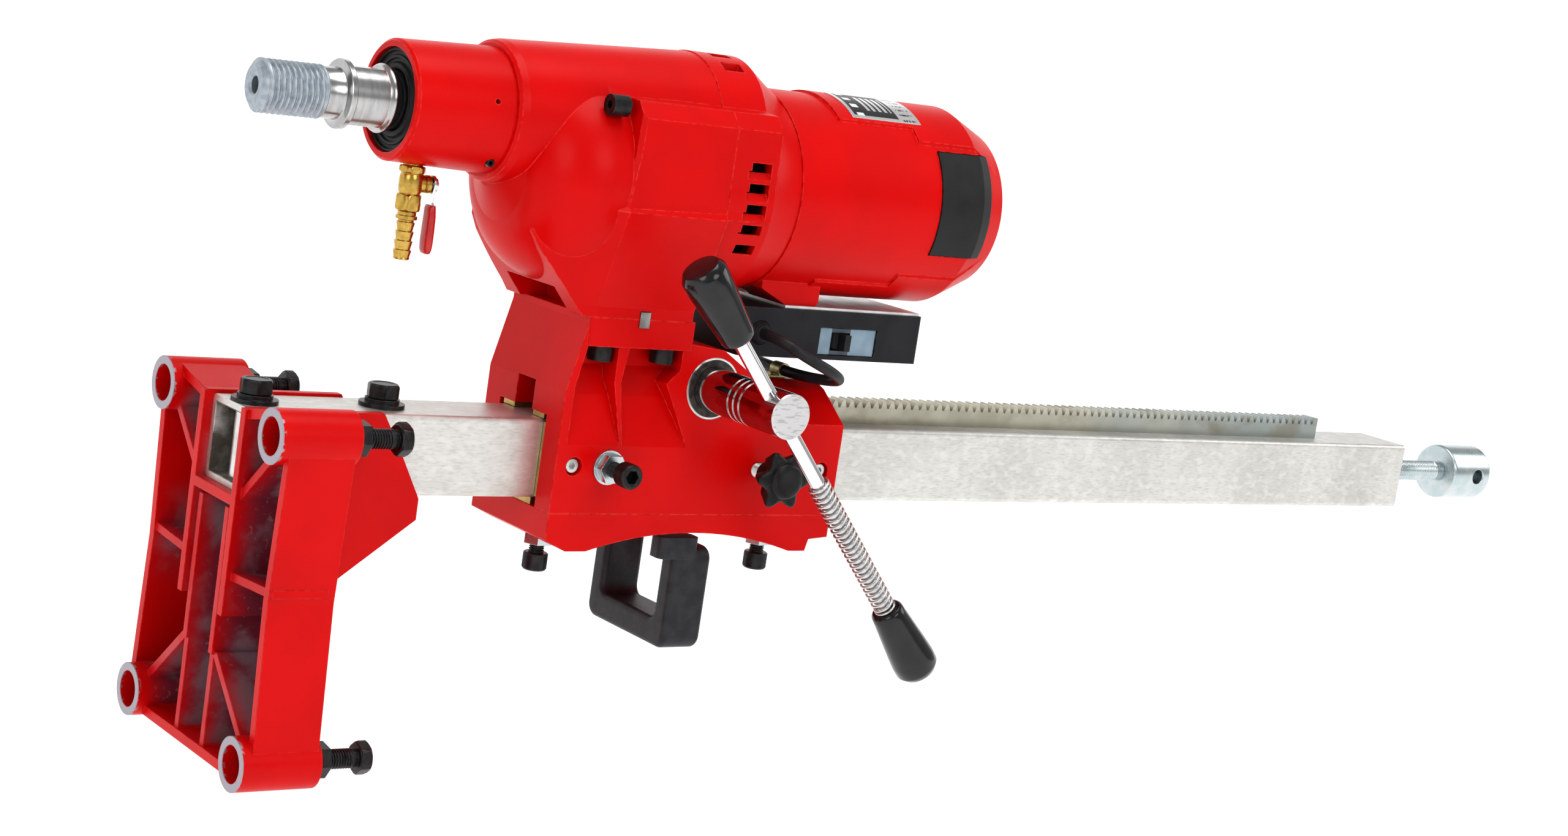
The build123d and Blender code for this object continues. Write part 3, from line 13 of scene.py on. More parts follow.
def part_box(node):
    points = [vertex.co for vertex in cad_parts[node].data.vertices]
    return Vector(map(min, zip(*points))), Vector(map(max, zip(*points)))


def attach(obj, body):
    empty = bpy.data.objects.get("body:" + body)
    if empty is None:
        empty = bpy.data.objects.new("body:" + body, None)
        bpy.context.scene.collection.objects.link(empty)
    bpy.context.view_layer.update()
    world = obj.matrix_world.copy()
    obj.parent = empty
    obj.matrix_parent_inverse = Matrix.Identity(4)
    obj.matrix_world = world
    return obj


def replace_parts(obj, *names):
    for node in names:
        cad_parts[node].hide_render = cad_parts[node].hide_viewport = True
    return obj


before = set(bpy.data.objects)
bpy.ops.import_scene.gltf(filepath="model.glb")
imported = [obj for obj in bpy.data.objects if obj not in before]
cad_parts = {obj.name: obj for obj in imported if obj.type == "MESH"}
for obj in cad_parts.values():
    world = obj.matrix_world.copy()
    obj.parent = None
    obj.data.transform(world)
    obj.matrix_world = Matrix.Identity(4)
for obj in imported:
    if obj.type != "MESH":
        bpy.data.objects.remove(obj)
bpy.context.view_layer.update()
LOG = logging.getLogger("core_drill_rig")
MM = 0.001
SPINDLE_Z = 209.0
CARRIAGE_X = 317.0
PINION_Z = 52.25

Colour = tuple[float, float, float]
Point = tuple[float, float, float]
Radius = Callable[[float], float]


# ---------------------------------------------------------------- shader kit
class Value:
    """A shader socket whose operators add the node that works them out."""

    def __init__(self, shader: "Shader", plug: bpy.types.NodeSocket) -> None:
        """Wraps one output socket.

        Args:
            shader: the shader that the socket belongs to.
            plug: the socket.
        """
        self.shader = shader
        self.plug = plug

    def math(self, operation: str, *others: "Value | float") -> "Value":
        """Adds a Math node with this value as its first input.

        Args:
            operation: the Math node's operation.
            others: the inputs that follow.

        Returns:
            The node's result.
        """
        inputs = dict(enumerate((self, *others)))
        return self.shader.add("ShaderNodeMath", {"operation": operation}, inputs)

    def __add__(self, other: "Value | float") -> "Value":
        """Sum."""
        return self.math("ADD", other)

    __radd__ = __add__

    def __mul__(self, other: "Value | float") -> "Value":
        """Product."""
        return self.math("MULTIPLY", other)

    __rmul__ = __mul__

    def __sub__(self, other: "Value | float") -> "Value":
        """Difference."""
        return self.math("SUBTRACT", other)

    def __rsub__(self, other: float) -> "Value":
        """Difference from a number."""
        return self.math("MULTIPLY", -1.0) + other

    def __truediv__(self, other: "Value | float") -> "Value":
        """Quotient."""
        return self.math("DIVIDE", other)

    def __pow__(self, other: float) -> "Value":
        """Power."""
        return self.math("POWER", other)

    def __abs__(self) -> "Value":
        """Size without sign."""
        return self.math("ABSOLUTE")

    def over(self, edge: float) -> "Value":
        """One where the value is above an edge, else zero."""
        return self.math("GREATER_THAN", edge)

    def under(self, edge: float) -> "Value":
        """One where the value is below an edge, else zero."""
        return self.math("LESS_THAN", edge)

    def ramp(self, low: float, high: float) -> "Value":
        """Smooth step from zero at low to one at high; low may be the larger.

        Args:
            low: value that gives zero.
            high: value that gives one.

        Returns:
            The stepped value.
        """
        start, end = (low, high) if low < high else (high, low)
        step = self.shader.add(
            "ShaderNodeMapRange", {"interpolation_type": "SMOOTHSTEP"},
            {"Value": self, "From Min": start, "From Max": end},
        )
        return step if low < high else 1.0 - step

    def wave(self, period: float) -> "Value":
        """Sine of the value over a period, from 0 to 1."""
        return (self * (2 * math.pi / period)).math("SINE") * 0.5 + 0.5


class Shader:
    """Builds one node material around a principled surface."""

    def __init__(self, name: str) -> None:
        """Starts an empty material.

        Args:
            name: the material's name.
        """
        self.material = bpy.data.materials.new(name)
        self.material.use_nodes = True
        self.nodes = self.material.node_tree.nodes
        self.links = self.material.node_tree.links
        self.nodes.clear()
        self.place = self.add("ShaderNodeTexCoord", output="Object")

    def add(self, kind: str, settings: dict[str, object] | None = None,
            inputs: dict[str | int, object] | None = None, output: str | int = 0) -> Value:
        """Adds any node.

        Args:
            kind: the node's type.
            settings: attributes set first.
            inputs: values or links of its sockets.
            output: name or number of the socket that is returned.

        Returns:
            The chosen output.
        """
        node = self.nodes.new(kind)
        for key, setting in (settings or {}).items():
            setattr(node, key, setting)
        for key, entry in (inputs or {}).items():
            if isinstance(entry, Value):
                self.links.new(entry.plug, node.inputs[key])
            elif isinstance(entry, tuple) and len(entry) == 3 and node.inputs[key].type == "RGBA":
                node.inputs[key].default_value = (*entry, 1.0)
            else:
                node.inputs[key].default_value = entry
        return Value(self, node.outputs[output])

    def mix(self, factor: Value, first: "Value | Colour", second: "Value | Colour") -> Value:
        """Mixes two colours.

        Args:
            factor: zero for the first, one for the second.
            first: a colour.
            second: a colour.

        Returns:
            The mixed colour.
        """
        settings = {"data_type": "RGBA", "clamp_factor": True}
        return self.add("ShaderNodeMix", settings, {0: factor, 6: first, 7: second}, 2)

    def noise(self, size: float, detail: float = 3.0, stretch: Point = (1.0, 1.0, 1.0),
              shift: float = 0.0) -> Value:
        """Cloudy noise over the piece.

        Args:
            size: size of its spots, in metres.
            detail: number of finer layers.
            stretch: how much longer the spots are along X, Y and Z.
            shift: moves the pattern, so that two noises differ.

        Returns:
            The noise, from 0 to 1.
        """
        scale = tuple(1.0 / part for part in stretch)
        moved = self.add("ShaderNodeMapping", None,
                         {"Vector": self.place, "Scale": scale, "Location": (shift, shift, shift)})
        return self.add("ShaderNodeTexNoise", None,
                        {"Vector": moved, "Scale": 1.0 / size, "Detail": detail})

    def axis(self, letter: str) -> Value:
        """One coordinate of the piece, in metres."""
        return self.add("ShaderNodeSeparateXYZ", None, {0: self.place}, letter)

    def rounded(self, radius: float) -> Value:
        """Direction of the surface with its sharp edges rounded off."""
        return self.add("ShaderNodeBevel", {"samples": 4}, {"Radius": radius})

    def edges(self, rounded: Value) -> Value:
        """Mask of the sharp edges, from a rounded direction."""
        plain = self.add("ShaderNodeNewGeometry", output="Normal")
        same = self.add("ShaderNodeVectorMath", {"operation": "DOT_PRODUCT"},
                        {0: rounded, 1: plain}, "Value")
        return same.ramp(0.995, 0.90)

    def finish(self, colour: "Value | Colour", roughness: "Value | float",
               metallic: "Value | float", height: Value, relief: float, rounded: Value | None,
               coat: float, coat_roughness: float, specular: float = 0.5) -> bpy.types.Material:
        """Closes the material with its principled surface.

        Args:
            colour: base colour.
            roughness: surface roughness.
            metallic: metal share.
            height: bump height, from 0 to 1.
            relief: depth of that bump, in metres.
            rounded: edge-rounded direction, or none.
            coat: clear coat weight.
            coat_roughness: clear coat roughness.
            specular: strength of the plain reflection.

        Returns:
            The material.
        """
        bump_inputs: dict[str | int, object] = {"Height": height, "Distance": relief, "Strength": 1.0}
        if rounded is not None:
            bump_inputs["Normal"] = rounded
        bump = self.add("ShaderNodeBump", None, bump_inputs)
        surface = self.add("ShaderNodeBsdfPrincipled", None, {
            "Base Color": colour, "Roughness": roughness, "Metallic": metallic, "Normal": bump,
            "Coat Weight": coat, "Coat Roughness": coat_roughness, "Specular IOR Level": specular,
        })
        self.add_output(surface)
        return self.material

    def add_output(self, surface: Value) -> None:
        """Links a surface to the material's output."""
        node = self.nodes.new("ShaderNodeOutputMaterial")
        self.links.new(surface.plug, node.inputs["Surface"])


# ---------------------------------------------------------------- finishes
@dataclass
class Look:
    """What has been worked out so far for one material."""

    shader: Shader
    colour: "Value | Colour"
    roughness: "Value | float"
    metallic: "Value | float"

    def paint(self, share: Value, colour: Colour) -> None:
        """Lays a colour over part of the surface."""
        self.colour = self.shader.mix(share, self.colour, colour)


@dataclass(frozen=True)
class Finish:
    """A surface with blotches, fine grain, edges painted lighter as wear and painted highlight, and a shallow
    relief.
    """

    name: str
    slot: str
    colour: Colour
    tint: Colour
    roughness: float
    metallic: float = 0.0
    swing: float = 0.12
    blotch: float = 0.03
    grain: float = 0.0012
    relief: float = 0.00002
    stretch: Point = (1.0, 1.0, 1.0)
    edge: Colour | None = None
    edge_width: float = 0.0006
    coat: float = 0.0
    coat_roughness: float = 0.08
    specular: float = 0.5
    made: dict[str, bpy.types.Material] = field(default_factory=dict, compare=False)

    def material(self) -> bpy.types.Material:
        """Makes the material once and returns it."""
        if self.name not in self.made:
            self.made[self.name] = self.build(Shader(self.name))
        return self.made[self.name]

    def build(self, shader: Shader) -> bpy.types.Material:
        """Wires the material.

        Args:
            shader: an empty shader.

        Returns:
            The finished material.
        """
        clouds = shader.noise(self.blotch, 4.0, self.stretch)
        grain = shader.noise(self.grain, 2.0, self.stretch, 0.37)
        colour = shader.mix(clouds.ramp(0.35, 0.65), self.colour, self.tint)
        roughness = (clouds - 0.5) * self.swing + (grain - 0.5) * self.swing + self.roughness
        rounded = shader.rounded(self.edge_width)
        if self.edge is not None:
            # Painted highlight and wear: sharp edges take the lighter edge colour through noise, partly as
            # paint wear, partly as a painted highlight.
            wear_and_highlight = shader.edges(rounded) * shader.noise(0.004, 3.0, shift=0.8).ramp(0.35, 0.62)
            colour = shader.mix(wear_and_highlight, colour, self.edge)
        look = Look(shader, colour, roughness, self.metallic)
        self.detail(look)
        return shader.finish(look.colour, look.roughness, look.metallic, grain, self.relief, rounded,
                             self.coat, self.coat_roughness, self.specular)

    def detail(self, look: Look) -> None:
        """Adds what only one finish has; a plain finish adds nothing."""


@dataclass(frozen=True)
class BaseCasting(Finish):
    """Painted casting with thin dull paint inside its ribs and bare boss rings."""

    bare: Colour = (0.40, 0.37, 0.41)
    dull: Colour = (0.150, 0.034, 0.060)

    def detail(self, look: Look) -> None:
        """Lays the overspray of the rib cells and the bare ring faces."""
        noise = look.shader.noise
        x, y, z = (look.shader.axis(letter) for letter in "XYZ")
        inside = abs(y).ramp(0.0790, 0.0760) * z.ramp(-0.1780, -0.1745) * z.ramp(0.0225, 0.0190)
        deep = x.ramp(0.003, 0.024) * x.ramp(0.0435, 0.0425) * inside
        dusty = deep * noise(0.045, 5.0, shift=1.7).ramp(0.24, 0.44)
        look.paint(dusty * 0.88, self.dull)
        silver = deep * noise(0.034, 6.0, shift=4.1).ramp(0.44, 0.62)
        look.paint(silver * 0.62, self.bare)
        specks = deep * noise(0.0035, 4.0, shift=2.9).ramp(0.60, 0.72)
        look.paint(specks * 0.6, (0.30, 0.22, 0.23))
        ring = x.ramp(0.0006, 0.0002) * noise(0.006, 4.0, shift=7.7).ramp(0.18, 0.34)
        chips = x.ramp(0.0024, 0.0004) * noise(0.0045, 4.0, shift=6.2).ramp(0.52, 0.60)
        bright = ring + chips - ring * chips
        look.paint(bright, self.bare)
        look.roughness += deep * 0.22 + bright * 0.12
        look.metallic = (silver * 0.45).math("MAXIMUM", bright * 0.85)


@dataclass(frozen=True)
class ColumnSteel(Finish):
    """Ground square tube: fine dashes, clouds and a dirty inside."""

    def detail(self, look: Look) -> None:
        """Adds grinding marks, handling stains and the soiled bore."""
        noise = look.shader.noise
        y, z = look.shader.axis("Y"), look.shader.axis("Z")
        lines = noise(0.0013, 3.0, (4.0, 0.8, 0.8), 2.2)
        look.paint(lines.ramp(0.42, 0.74) * 0.42, (0.42, 0.42, 0.40))
        tufts = noise(0.0060, 4.0, (1.6, 0.9, 0.9), 5.2)
        look.paint(tufts.ramp(0.48, 0.66) * 0.40, (0.80, 0.79, 0.76))
        stain = noise(0.090, 4.0, (2.0, 1.0, 0.6), 9.1).ramp(0.56, 0.70)
        look.paint(stain * 0.35, (0.46, 0.42, 0.36))
        bore = abs(y).ramp(0.0213, 0.0209) * abs(z).ramp(0.0213, 0.0209)
        dirt = bore * noise(0.018, 5.0, shift=3.3).ramp(0.30, 0.60)
        look.paint(dirt * 0.85, (0.10, 0.075, 0.05))
        look.roughness += lines * 0.10 + dirt * 0.25


@dataclass(frozen=True)
class RackPlate(Finish):
    """Zinc plate that runs from straw yellow to blue along the rack."""

    def detail(self, look: Look) -> None:
        """Shifts the plate's tone along the rack and paints shade on its lower part, at the tooth roots."""
        noise = look.shader.noise
        drift = (look.shader.axis("X") + noise(0.06, 3.0, shift=4.0) * 0.35).ramp(0.72, 1.10)
        look.paint(drift * 0.8, (0.36, 0.42, 0.44))
        smoke = noise(0.020, 4.0, (2.0, 1.0, 1.0), 6.6).ramp(0.50, 0.66)
        look.paint(smoke * 0.5, (0.30, 0.27, 0.19))
        # Painted shade: the rack is darker low down, at and below its tooth roots.
        root_shade = look.shader.axis("Z").ramp(0.0385, 0.0360)
        look.paint(root_shade * 0.25, (0.16, 0.15, 0.12))
        look.roughness += smoke * 0.10


@dataclass(frozen=True)
class PrintedPlate(Finish):
    """Foil label: black field with white bars between two silver fields."""

    start: float = 0.401
    length: float = 0.057
    edge_y: float = -0.038
    width: float = 0.034

    def detail(self, look: Look) -> None:
        """Prints the generic bars and rules."""
        along = (look.shader.axis("X") - self.start) / self.length
        across = (look.shader.axis("Y") - self.edge_y) / self.width
        black = along.over(0.05) * along.under(0.70) * across.over(0.06) * across.under(0.94)
        look.paint(black, (0.012, 0.012, 0.014))
        bars = (along - 0.30).wave(0.085).over(0.45) * along.over(0.28) * along.under(0.66)
        bars = bars * across.over(0.22) * across.under(0.78)
        look.paint(bars, (0.80, 0.80, 0.80))
        rules = across.wave(0.16).over(0.80) * along.over(0.76) * along.under(0.94)
        marks = look.shader.noise(0.0009, 0.0, (1.0, 3.0, 1.0), 3.0).over(0.47)
        look.paint(rules * marks, (0.03, 0.03, 0.03))
        dash = across.wave(0.28).over(0.62) * along.over(0.10) * along.under(0.20)
        look.paint(dash, (0.75, 0.75, 0.75))
        inked = black * (1.0 - bars)
        look.roughness += inked * 0.10
        look.metallic = (1.0 - inked) * 0.75


@dataclass(frozen=True)
class HubChrome(Finish):
    """Polished hub with a dull, scratched end face."""

    def detail(self, look: Look) -> None:
        """Dulls the end face and scratches it."""
        end = look.shader.axis("Y").ramp(-0.1300, -0.1306)
        scratch = look.shader.noise(0.0010, 3.0, (9.0, 1.0, 1.6), 8.0).ramp(0.54, 0.62)
        look.paint(end * 0.8, (0.66, 0.66, 0.66))
        look.paint(end * scratch * 0.6, (0.34, 0.34, 0.34))
        look.roughness += end * 0.30


@dataclass(frozen=True)
class Breaker(Finish):
    """Moulded breaker face with a darker throat and fine generic print."""

    middle_z: float = 0.0856
    throat_x: float = 0.418

    def detail(self, look: Look) -> None:
        """Prints short rules on the face and darkens the throat."""
        x, y, z = (look.shader.axis(letter) for letter in "XYZ")
        face = y.under(-0.0405)
        rules = z.wave(0.0026).over(0.72) * x.over(0.4275) * x.under(0.4360) * face
        rules = rules * (z - self.middle_z).under(0.0070) * (z - self.middle_z).over(-0.0070)
        marks = look.shader.noise(0.0007, 0.0, (2.0, 1.0, 1.0), 5.0).over(0.44)
        look.paint(rules * marks * 0.8, (0.62, 0.68, 0.72))
        panel = x.over(0.4370) * x.under(0.4385) * face
        look.paint(panel, (0.16, 0.19, 0.21))
        throat = y.ramp(-0.0395, -0.0385) * abs(x - self.throat_x).under(0.0078)
        look.paint(throat, (0.02, 0.022, 0.024))


# The edge colour of each finish is laid on its sharp edges: partly wear, partly a painted highlight.
RED = Finish("red_casting_paint", "red_casting", (0.610, 0.0008, 0.0010), (0.550, 0.0006, 0.0008), 0.36,
             swing=0.10, blotch=0.06, grain=0.0016, relief=0.000050, edge=(0.86, 0.075, 0.055),
             edge_width=0.0011, coat=0.04, coat_roughness=0.22, specular=0.13)
BASE = BaseCasting("base_casting_paint", "red_casting", (0.610, 0.0010, 0.0016), (0.550, 0.0008, 0.0012),
                   0.38, swing=0.12, blotch=0.05, grain=0.0016, relief=0.00006, edge=(0.74, 0.040, 0.035),
                   edge_width=0.0012, coat=0.04, coat_roughness=0.3, specular=0.15)
COLUMN = ColumnSteel("ground_column_steel", "column_steel", (0.60, 0.595, 0.565), (0.68, 0.675, 0.645), 0.38,
                     metallic=0.85, swing=0.14, blotch=0.05, grain=0.0009, relief=0.000012,
                     edge=(0.86, 0.86, 0.85), edge_width=0.0008)
BRIGHT = Finish("plain_bright_steel", "column_steel", (0.66, 0.66, 0.65), (0.56, 0.56, 0.54), 0.30,
                metallic=1.0, blotch=0.012, grain=0.0006, relief=0.000008, edge=(0.85, 0.85, 0.84))
RACK = RackPlate("yellow_zinc_rack", "zinc", (0.52, 0.50, 0.41), (0.43, 0.41, 0.33), 0.34,
                 metallic=0.9, blotch=0.02, grain=0.0008, relief=0.00001, edge=(0.80, 0.79, 0.72),
                 edge_width=0.0004)
BLUE_ZINC = Finish("blue_zinc_plate", "blue_zinc", (0.46, 0.54, 0.56), (0.56, 0.60, 0.61), 0.27,
                   metallic=0.95, blotch=0.010, grain=0.0007, relief=0.000010, edge=(0.85, 0.88, 0.88),
                   edge_width=0.0005)
BLACK_OXIDE = Finish("black_oxide_steel", "black_oxide", (0.014, 0.014, 0.016), (0.030, 0.028, 0.027), 0.36,
                     metallic=0.55, blotch=0.006, grain=0.0006, relief=0.000012,
                     edge=(0.10, 0.10, 0.10), edge_width=0.0006)
SPINDLE = Finish("spindle_ground_steel", "spindle_steel", (0.47, 0.47, 0.465), (0.38, 0.38, 0.38), 0.20,
                 metallic=1.0, swing=0.06, blotch=0.015, grain=0.0005, relief=0.000004,
                 stretch=(0.25, 1.0, 1.0), edge=(0.88, 0.88, 0.88), edge_width=0.0004)
THREAD = Finish("spindle_thread_phosphate", "spindle_steel", (0.30, 0.345, 0.385), (0.40, 0.44, 0.48), 0.44,
                metallic=0.75, swing=0.14, blotch=0.004, grain=0.0005, relief=0.00002,
                edge=(0.74, 0.77, 0.80), edge_width=0.0005)
GEAR = Finish("oiled_gear_steel", "gear_steel", (0.34, 0.33, 0.32), (0.24, 0.23, 0.21), 0.26,
              metallic=1.0, blotch=0.01, grain=0.0006, relief=0.000008)
BEARING = Finish("bearing_ring_steel", "bearing_steel", (0.64, 0.64, 0.63), (0.52, 0.52, 0.51), 0.18,
                 metallic=1.0, blotch=0.008, grain=0.0005, relief=0.000006)
SHIELD = Finish("bearing_shield", "bearing_steel", (0.030, 0.028, 0.027), (0.075, 0.065, 0.055), 0.42,
                metallic=0.4, blotch=0.004, grain=0.0006, relief=0.00002)
CHROME = Finish("bar_chrome", "chrome", (0.78, 0.78, 0.78), (0.72, 0.72, 0.73), 0.07,
                metallic=1.0, swing=0.04, blotch=0.02, grain=0.0009, relief=0.000003)
HUB = HubChrome("hub_chrome", "chrome", (0.46, 0.42, 0.42), (0.40, 0.37, 0.37), 0.09,
                metallic=1.0, swing=0.04, blotch=0.012, grain=0.0008, relief=0.000003,
                edge=(0.9, 0.9, 0.9))
SPRING = Finish("spring_wire", "spring_steel", (0.66, 0.65, 0.64), (0.54, 0.53, 0.52), 0.34,
                metallic=1.0, swing=0.08, blotch=0.006, grain=0.0006, relief=0.000006)
KNOB = Finish("knob_gloss_black", "knob_plastic", (0.0075, 0.0075, 0.008), (0.012, 0.012, 0.0125), 0.17,
              swing=0.10, blotch=0.012, grain=0.0018, relief=0.000012, coat=0.3, coat_roughness=0.06,
              specular=0.35)
STAR = Finish("star_knob_black", "knob_plastic", (0.010, 0.010, 0.010), (0.016, 0.016, 0.016), 0.38,
              swing=0.12, blotch=0.008, grain=0.0010, relief=0.00003, edge=(0.04, 0.04, 0.04),
              specular=0.25)
CASE = Finish("switch_case_charcoal", "black_plastic", (0.015, 0.016, 0.018), (0.021, 0.022, 0.025), 0.52,
              swing=0.10, blotch=0.02, grain=0.0008, relief=0.00003, edge=(0.09, 0.09, 0.09),
              edge_width=0.0008, specular=0.22)
COVER = Finish("brush_cover_black", "black_plastic", (0.018, 0.018, 0.018), (0.023, 0.023, 0.023), 0.46,
               swing=0.10, blotch=0.02, grain=0.0008, relief=0.00003, edge=(0.06, 0.06, 0.06), specular=0.2)
HANDLE = Finish("handle_moulding", "handle_plastic", (0.020, 0.021, 0.023), (0.032, 0.033, 0.036), 0.44,
                swing=0.16, blotch=0.008, grain=0.0011, relief=0.00009, edge=(0.07, 0.07, 0.075),
                edge_width=0.0012, specular=0.25)
BREAKER = Breaker("breaker_moulding", "grey_plastic", (0.24, 0.33, 0.40), (0.20, 0.28, 0.35), 0.36,
                  swing=0.08, blotch=0.01, grain=0.0006, relief=0.00001, edge=(0.44, 0.54, 0.60))
SEAL = Finish("seal_rubber_black", "seal_rubber", (0.010, 0.010, 0.011), (0.018, 0.018, 0.019), 0.48,
              swing=0.14, blotch=0.006, grain=0.0007, relief=0.00002, edge=(0.05, 0.05, 0.052), specular=0.25)
SHEATH = Finish("lead_sheath", "lead_rubber", (0.014, 0.015, 0.017), (0.022, 0.024, 0.028), 0.42,
                swing=0.12, blotch=0.010, grain=0.0009, relief=0.00002, specular=0.3)
BRASS = Finish("valve_brass", "valve_brass", (0.56, 0.37, 0.095), (0.44, 0.28, 0.07), 0.26,
               metallic=1.0, swing=0.14, blotch=0.004, grain=0.0005, relief=0.000015,
               edge=(0.86, 0.66, 0.30), edge_width=0.0004)
SLEEVE = Finish("lever_sleeve_red", "valve_brass", (0.52, 0.010, 0.012), (0.42, 0.008, 0.010), 0.30,
                swing=0.10, blotch=0.006, grain=0.0009, relief=0.00002, coat=0.3)
SHEET = Finish("bracket_sheet", "bare_aluminium", (0.74, 0.74, 0.74), (0.62, 0.62, 0.61), 0.34,
               metallic=0.85, swing=0.14, blotch=0.012, grain=0.0007, relief=0.000010,
               edge=(0.9, 0.9, 0.9))
BRONZE = Finish("guide_pad_bronze", "pad_bronze", (0.50, 0.34, 0.13), (0.40, 0.26, 0.10), 0.36,
                metallic=1.0, blotch=0.008, grain=0.0006, relief=0.000015)
LAMINATE = Finish("core_laminations", "core_steel", (0.16, 0.155, 0.15), (0.10, 0.095, 0.09), 0.42,
                  metallic=0.8, blotch=0.01, grain=0.0008, relief=0.00004, stretch=(0.15, 3.0, 3.0))
CARBON = Finish("pressed_carbon", "carbon", (0.020, 0.020, 0.021), (0.032, 0.031, 0.030), 0.55,
                blotch=0.004, grain=0.0004, relief=0.00002)
FAN = Finish("fan_moulding", "fan_plastic", (0.30, 0.012, 0.010), (0.22, 0.010, 0.008), 0.50,
             blotch=0.01, grain=0.0009, relief=0.00003)
LABEL = PrintedPlate("name_plate_print", "label_film", (0.74, 0.74, 0.73), (0.66, 0.66, 0.66), 0.24,
                     metallic=0.7, swing=0.06, blotch=0.02, grain=0.0006, relief=0.000004)
CLIP = Finish("clip_yellow_zinc", "clip_zinc", (0.46, 0.42, 0.22), (0.34, 0.31, 0.17), 0.34,
              metallic=0.8, swing=0.16, blotch=0.003, grain=0.0005, relief=0.00002,
              edge=(0.75, 0.72, 0.5), edge_width=0.0004)


# ---------------------------------------------------------------- mesh kit
def clothe(piece: bpy.types.Object, finish: Finish, body: str, *nodes: str) -> bpy.types.Object:
    """Gives a new piece its finish, its body and the CAD nodes it stands for.

    Args:
        piece: the piece, in the frame's own axes.
        finish: its finish.
        body: the body it rides on.
        nodes: CAD nodes that it replaces.

    Returns:
        The piece.
    """
    piece.data.materials.append(finish.material())
    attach(piece, body)
    if nodes:
        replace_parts(piece, *nodes)
    LOG.info("piece %s rides on %s", piece.name, body)
    return piece


def carry(finish: Finish, *nodes: str) -> None:
    """Gives CAD nodes that stay in view their finish.

    Args:
        finish: the finish.
        nodes: the nodes' names.
    """
    for node in nodes:
        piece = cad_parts[node]
        piece.data.materials.clear()
        piece.data.materials.append(finish.material())
        LOG.info("node %s wears %s", node, finish.name)


def box_mm(node: str) -> tuple[Vector, Vector]:
    """Lowest and highest corner of a CAD node, in mm."""
    low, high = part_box(node)
    return Vector(low) / MM, Vector(high) / MM


def make_mesh(name: str, points: Sequence[Sequence[float]], faces: Sequence[Sequence[int]],
              sharp: float = 32.0, unit: float = MM) -> bpy.types.Object:
    """Makes a smooth-shaded mesh whose sharp edges stay sharp.

    Args:
        name: the piece's name.
        points: its corners.
        faces: its faces.
        sharp: edges over this angle, in degrees, stay sharp.
        unit: the corners' unit, in metres.

    Returns:
        The new object.
    """
    mesh = bpy.data.meshes.new(name)
    corners = [tuple(part * unit for part in point) for point in points]
    mesh.from_pydata(corners, [], [tuple(face) for face in faces])
    mesh.shade_smooth()
    mesh.set_sharp_from_angle(angle=math.radians(sharp))
    piece = bpy.data.objects.new(name, mesh)
    bpy.context.scene.collection.objects.link(piece)
    return piece


def skin(rows: int, count: int) -> list[tuple[int, ...]]:
    """Faces over rings of corners, closed at both ends.

    Args:
        rows: number of rings.
        count: corners in each ring.

    Returns:
        The faces.
    """
    faces: list[tuple[int, ...]] = [
        (row * count + step, row * count + (step + 1) % count,
         (row + 1) * count + (step + 1) % count, (row + 1) * count + step)
        for row in range(rows - 1) for step in range(count)
    ]
    last = (rows - 1) * count
    return faces + [tuple(range(count - 1, -1, -1)), tuple(range(last, last + count))]


def soften(node: str, name: str, width: float, segments: int = 4) -> bpy.types.Object:
    """Copies a CAD node's mesh and rounds its edges.

    Args:
        node: the node to copy.
        name: the new piece's name.
        width: width of the rounding, in mm.
        segments: steps across it.

    Returns:
        The new object, in the frame's own axes.
    """
    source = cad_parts[node]
    mesh = source.data.copy()
    mesh.transform(source.matrix_world)
    mesh.materials.clear()
    piece = bpy.data.objects.new(name, mesh)
    bpy.context.scene.collection.objects.link(piece)
    weld = piece.modifiers.new("weld", "WELD")
    weld.merge_threshold = 0.00002
    bevel = piece.modifiers.new("round", "BEVEL")
    bevel.width = width * MM
    bevel.segments = segments
    bevel.limit_method = "ANGLE"
    bevel.angle_limit = math.radians(40.0)
    bpy.context.view_layer.update()
    graph = bpy.context.evaluated_depsgraph_get()
    piece.data = bpy.data.meshes.new_from_object(piece.evaluated_get(graph))
    piece.modifiers.clear()
    piece.data.shade_smooth()
    piece.data.set_sharp_from_angle(angle=math.radians(50.0))
    return piece


def round_section(radius: float) -> Radius:
    """Radius of a circle."""
    return lambda angle: radius


def hex_section(flats: float, turn: float, cap: float) -> Radius:
    """Radius of a hexagon, cut off by a circle.

    Args:
        flats: width across flats, in mm.
        turn: turn about the axis, in degrees.
        cap: radius of the circle that cuts the corners.

    Returns:
        The radius at each angle.
    """
    def radius(angle: float) -> float:
        """Distance to the outline at one angle."""
        part = (angle - math.radians(turn)) % (math.pi / 3) - math.pi / 6
        return min(flats / 2 / math.cos(part), cap)
    return radius


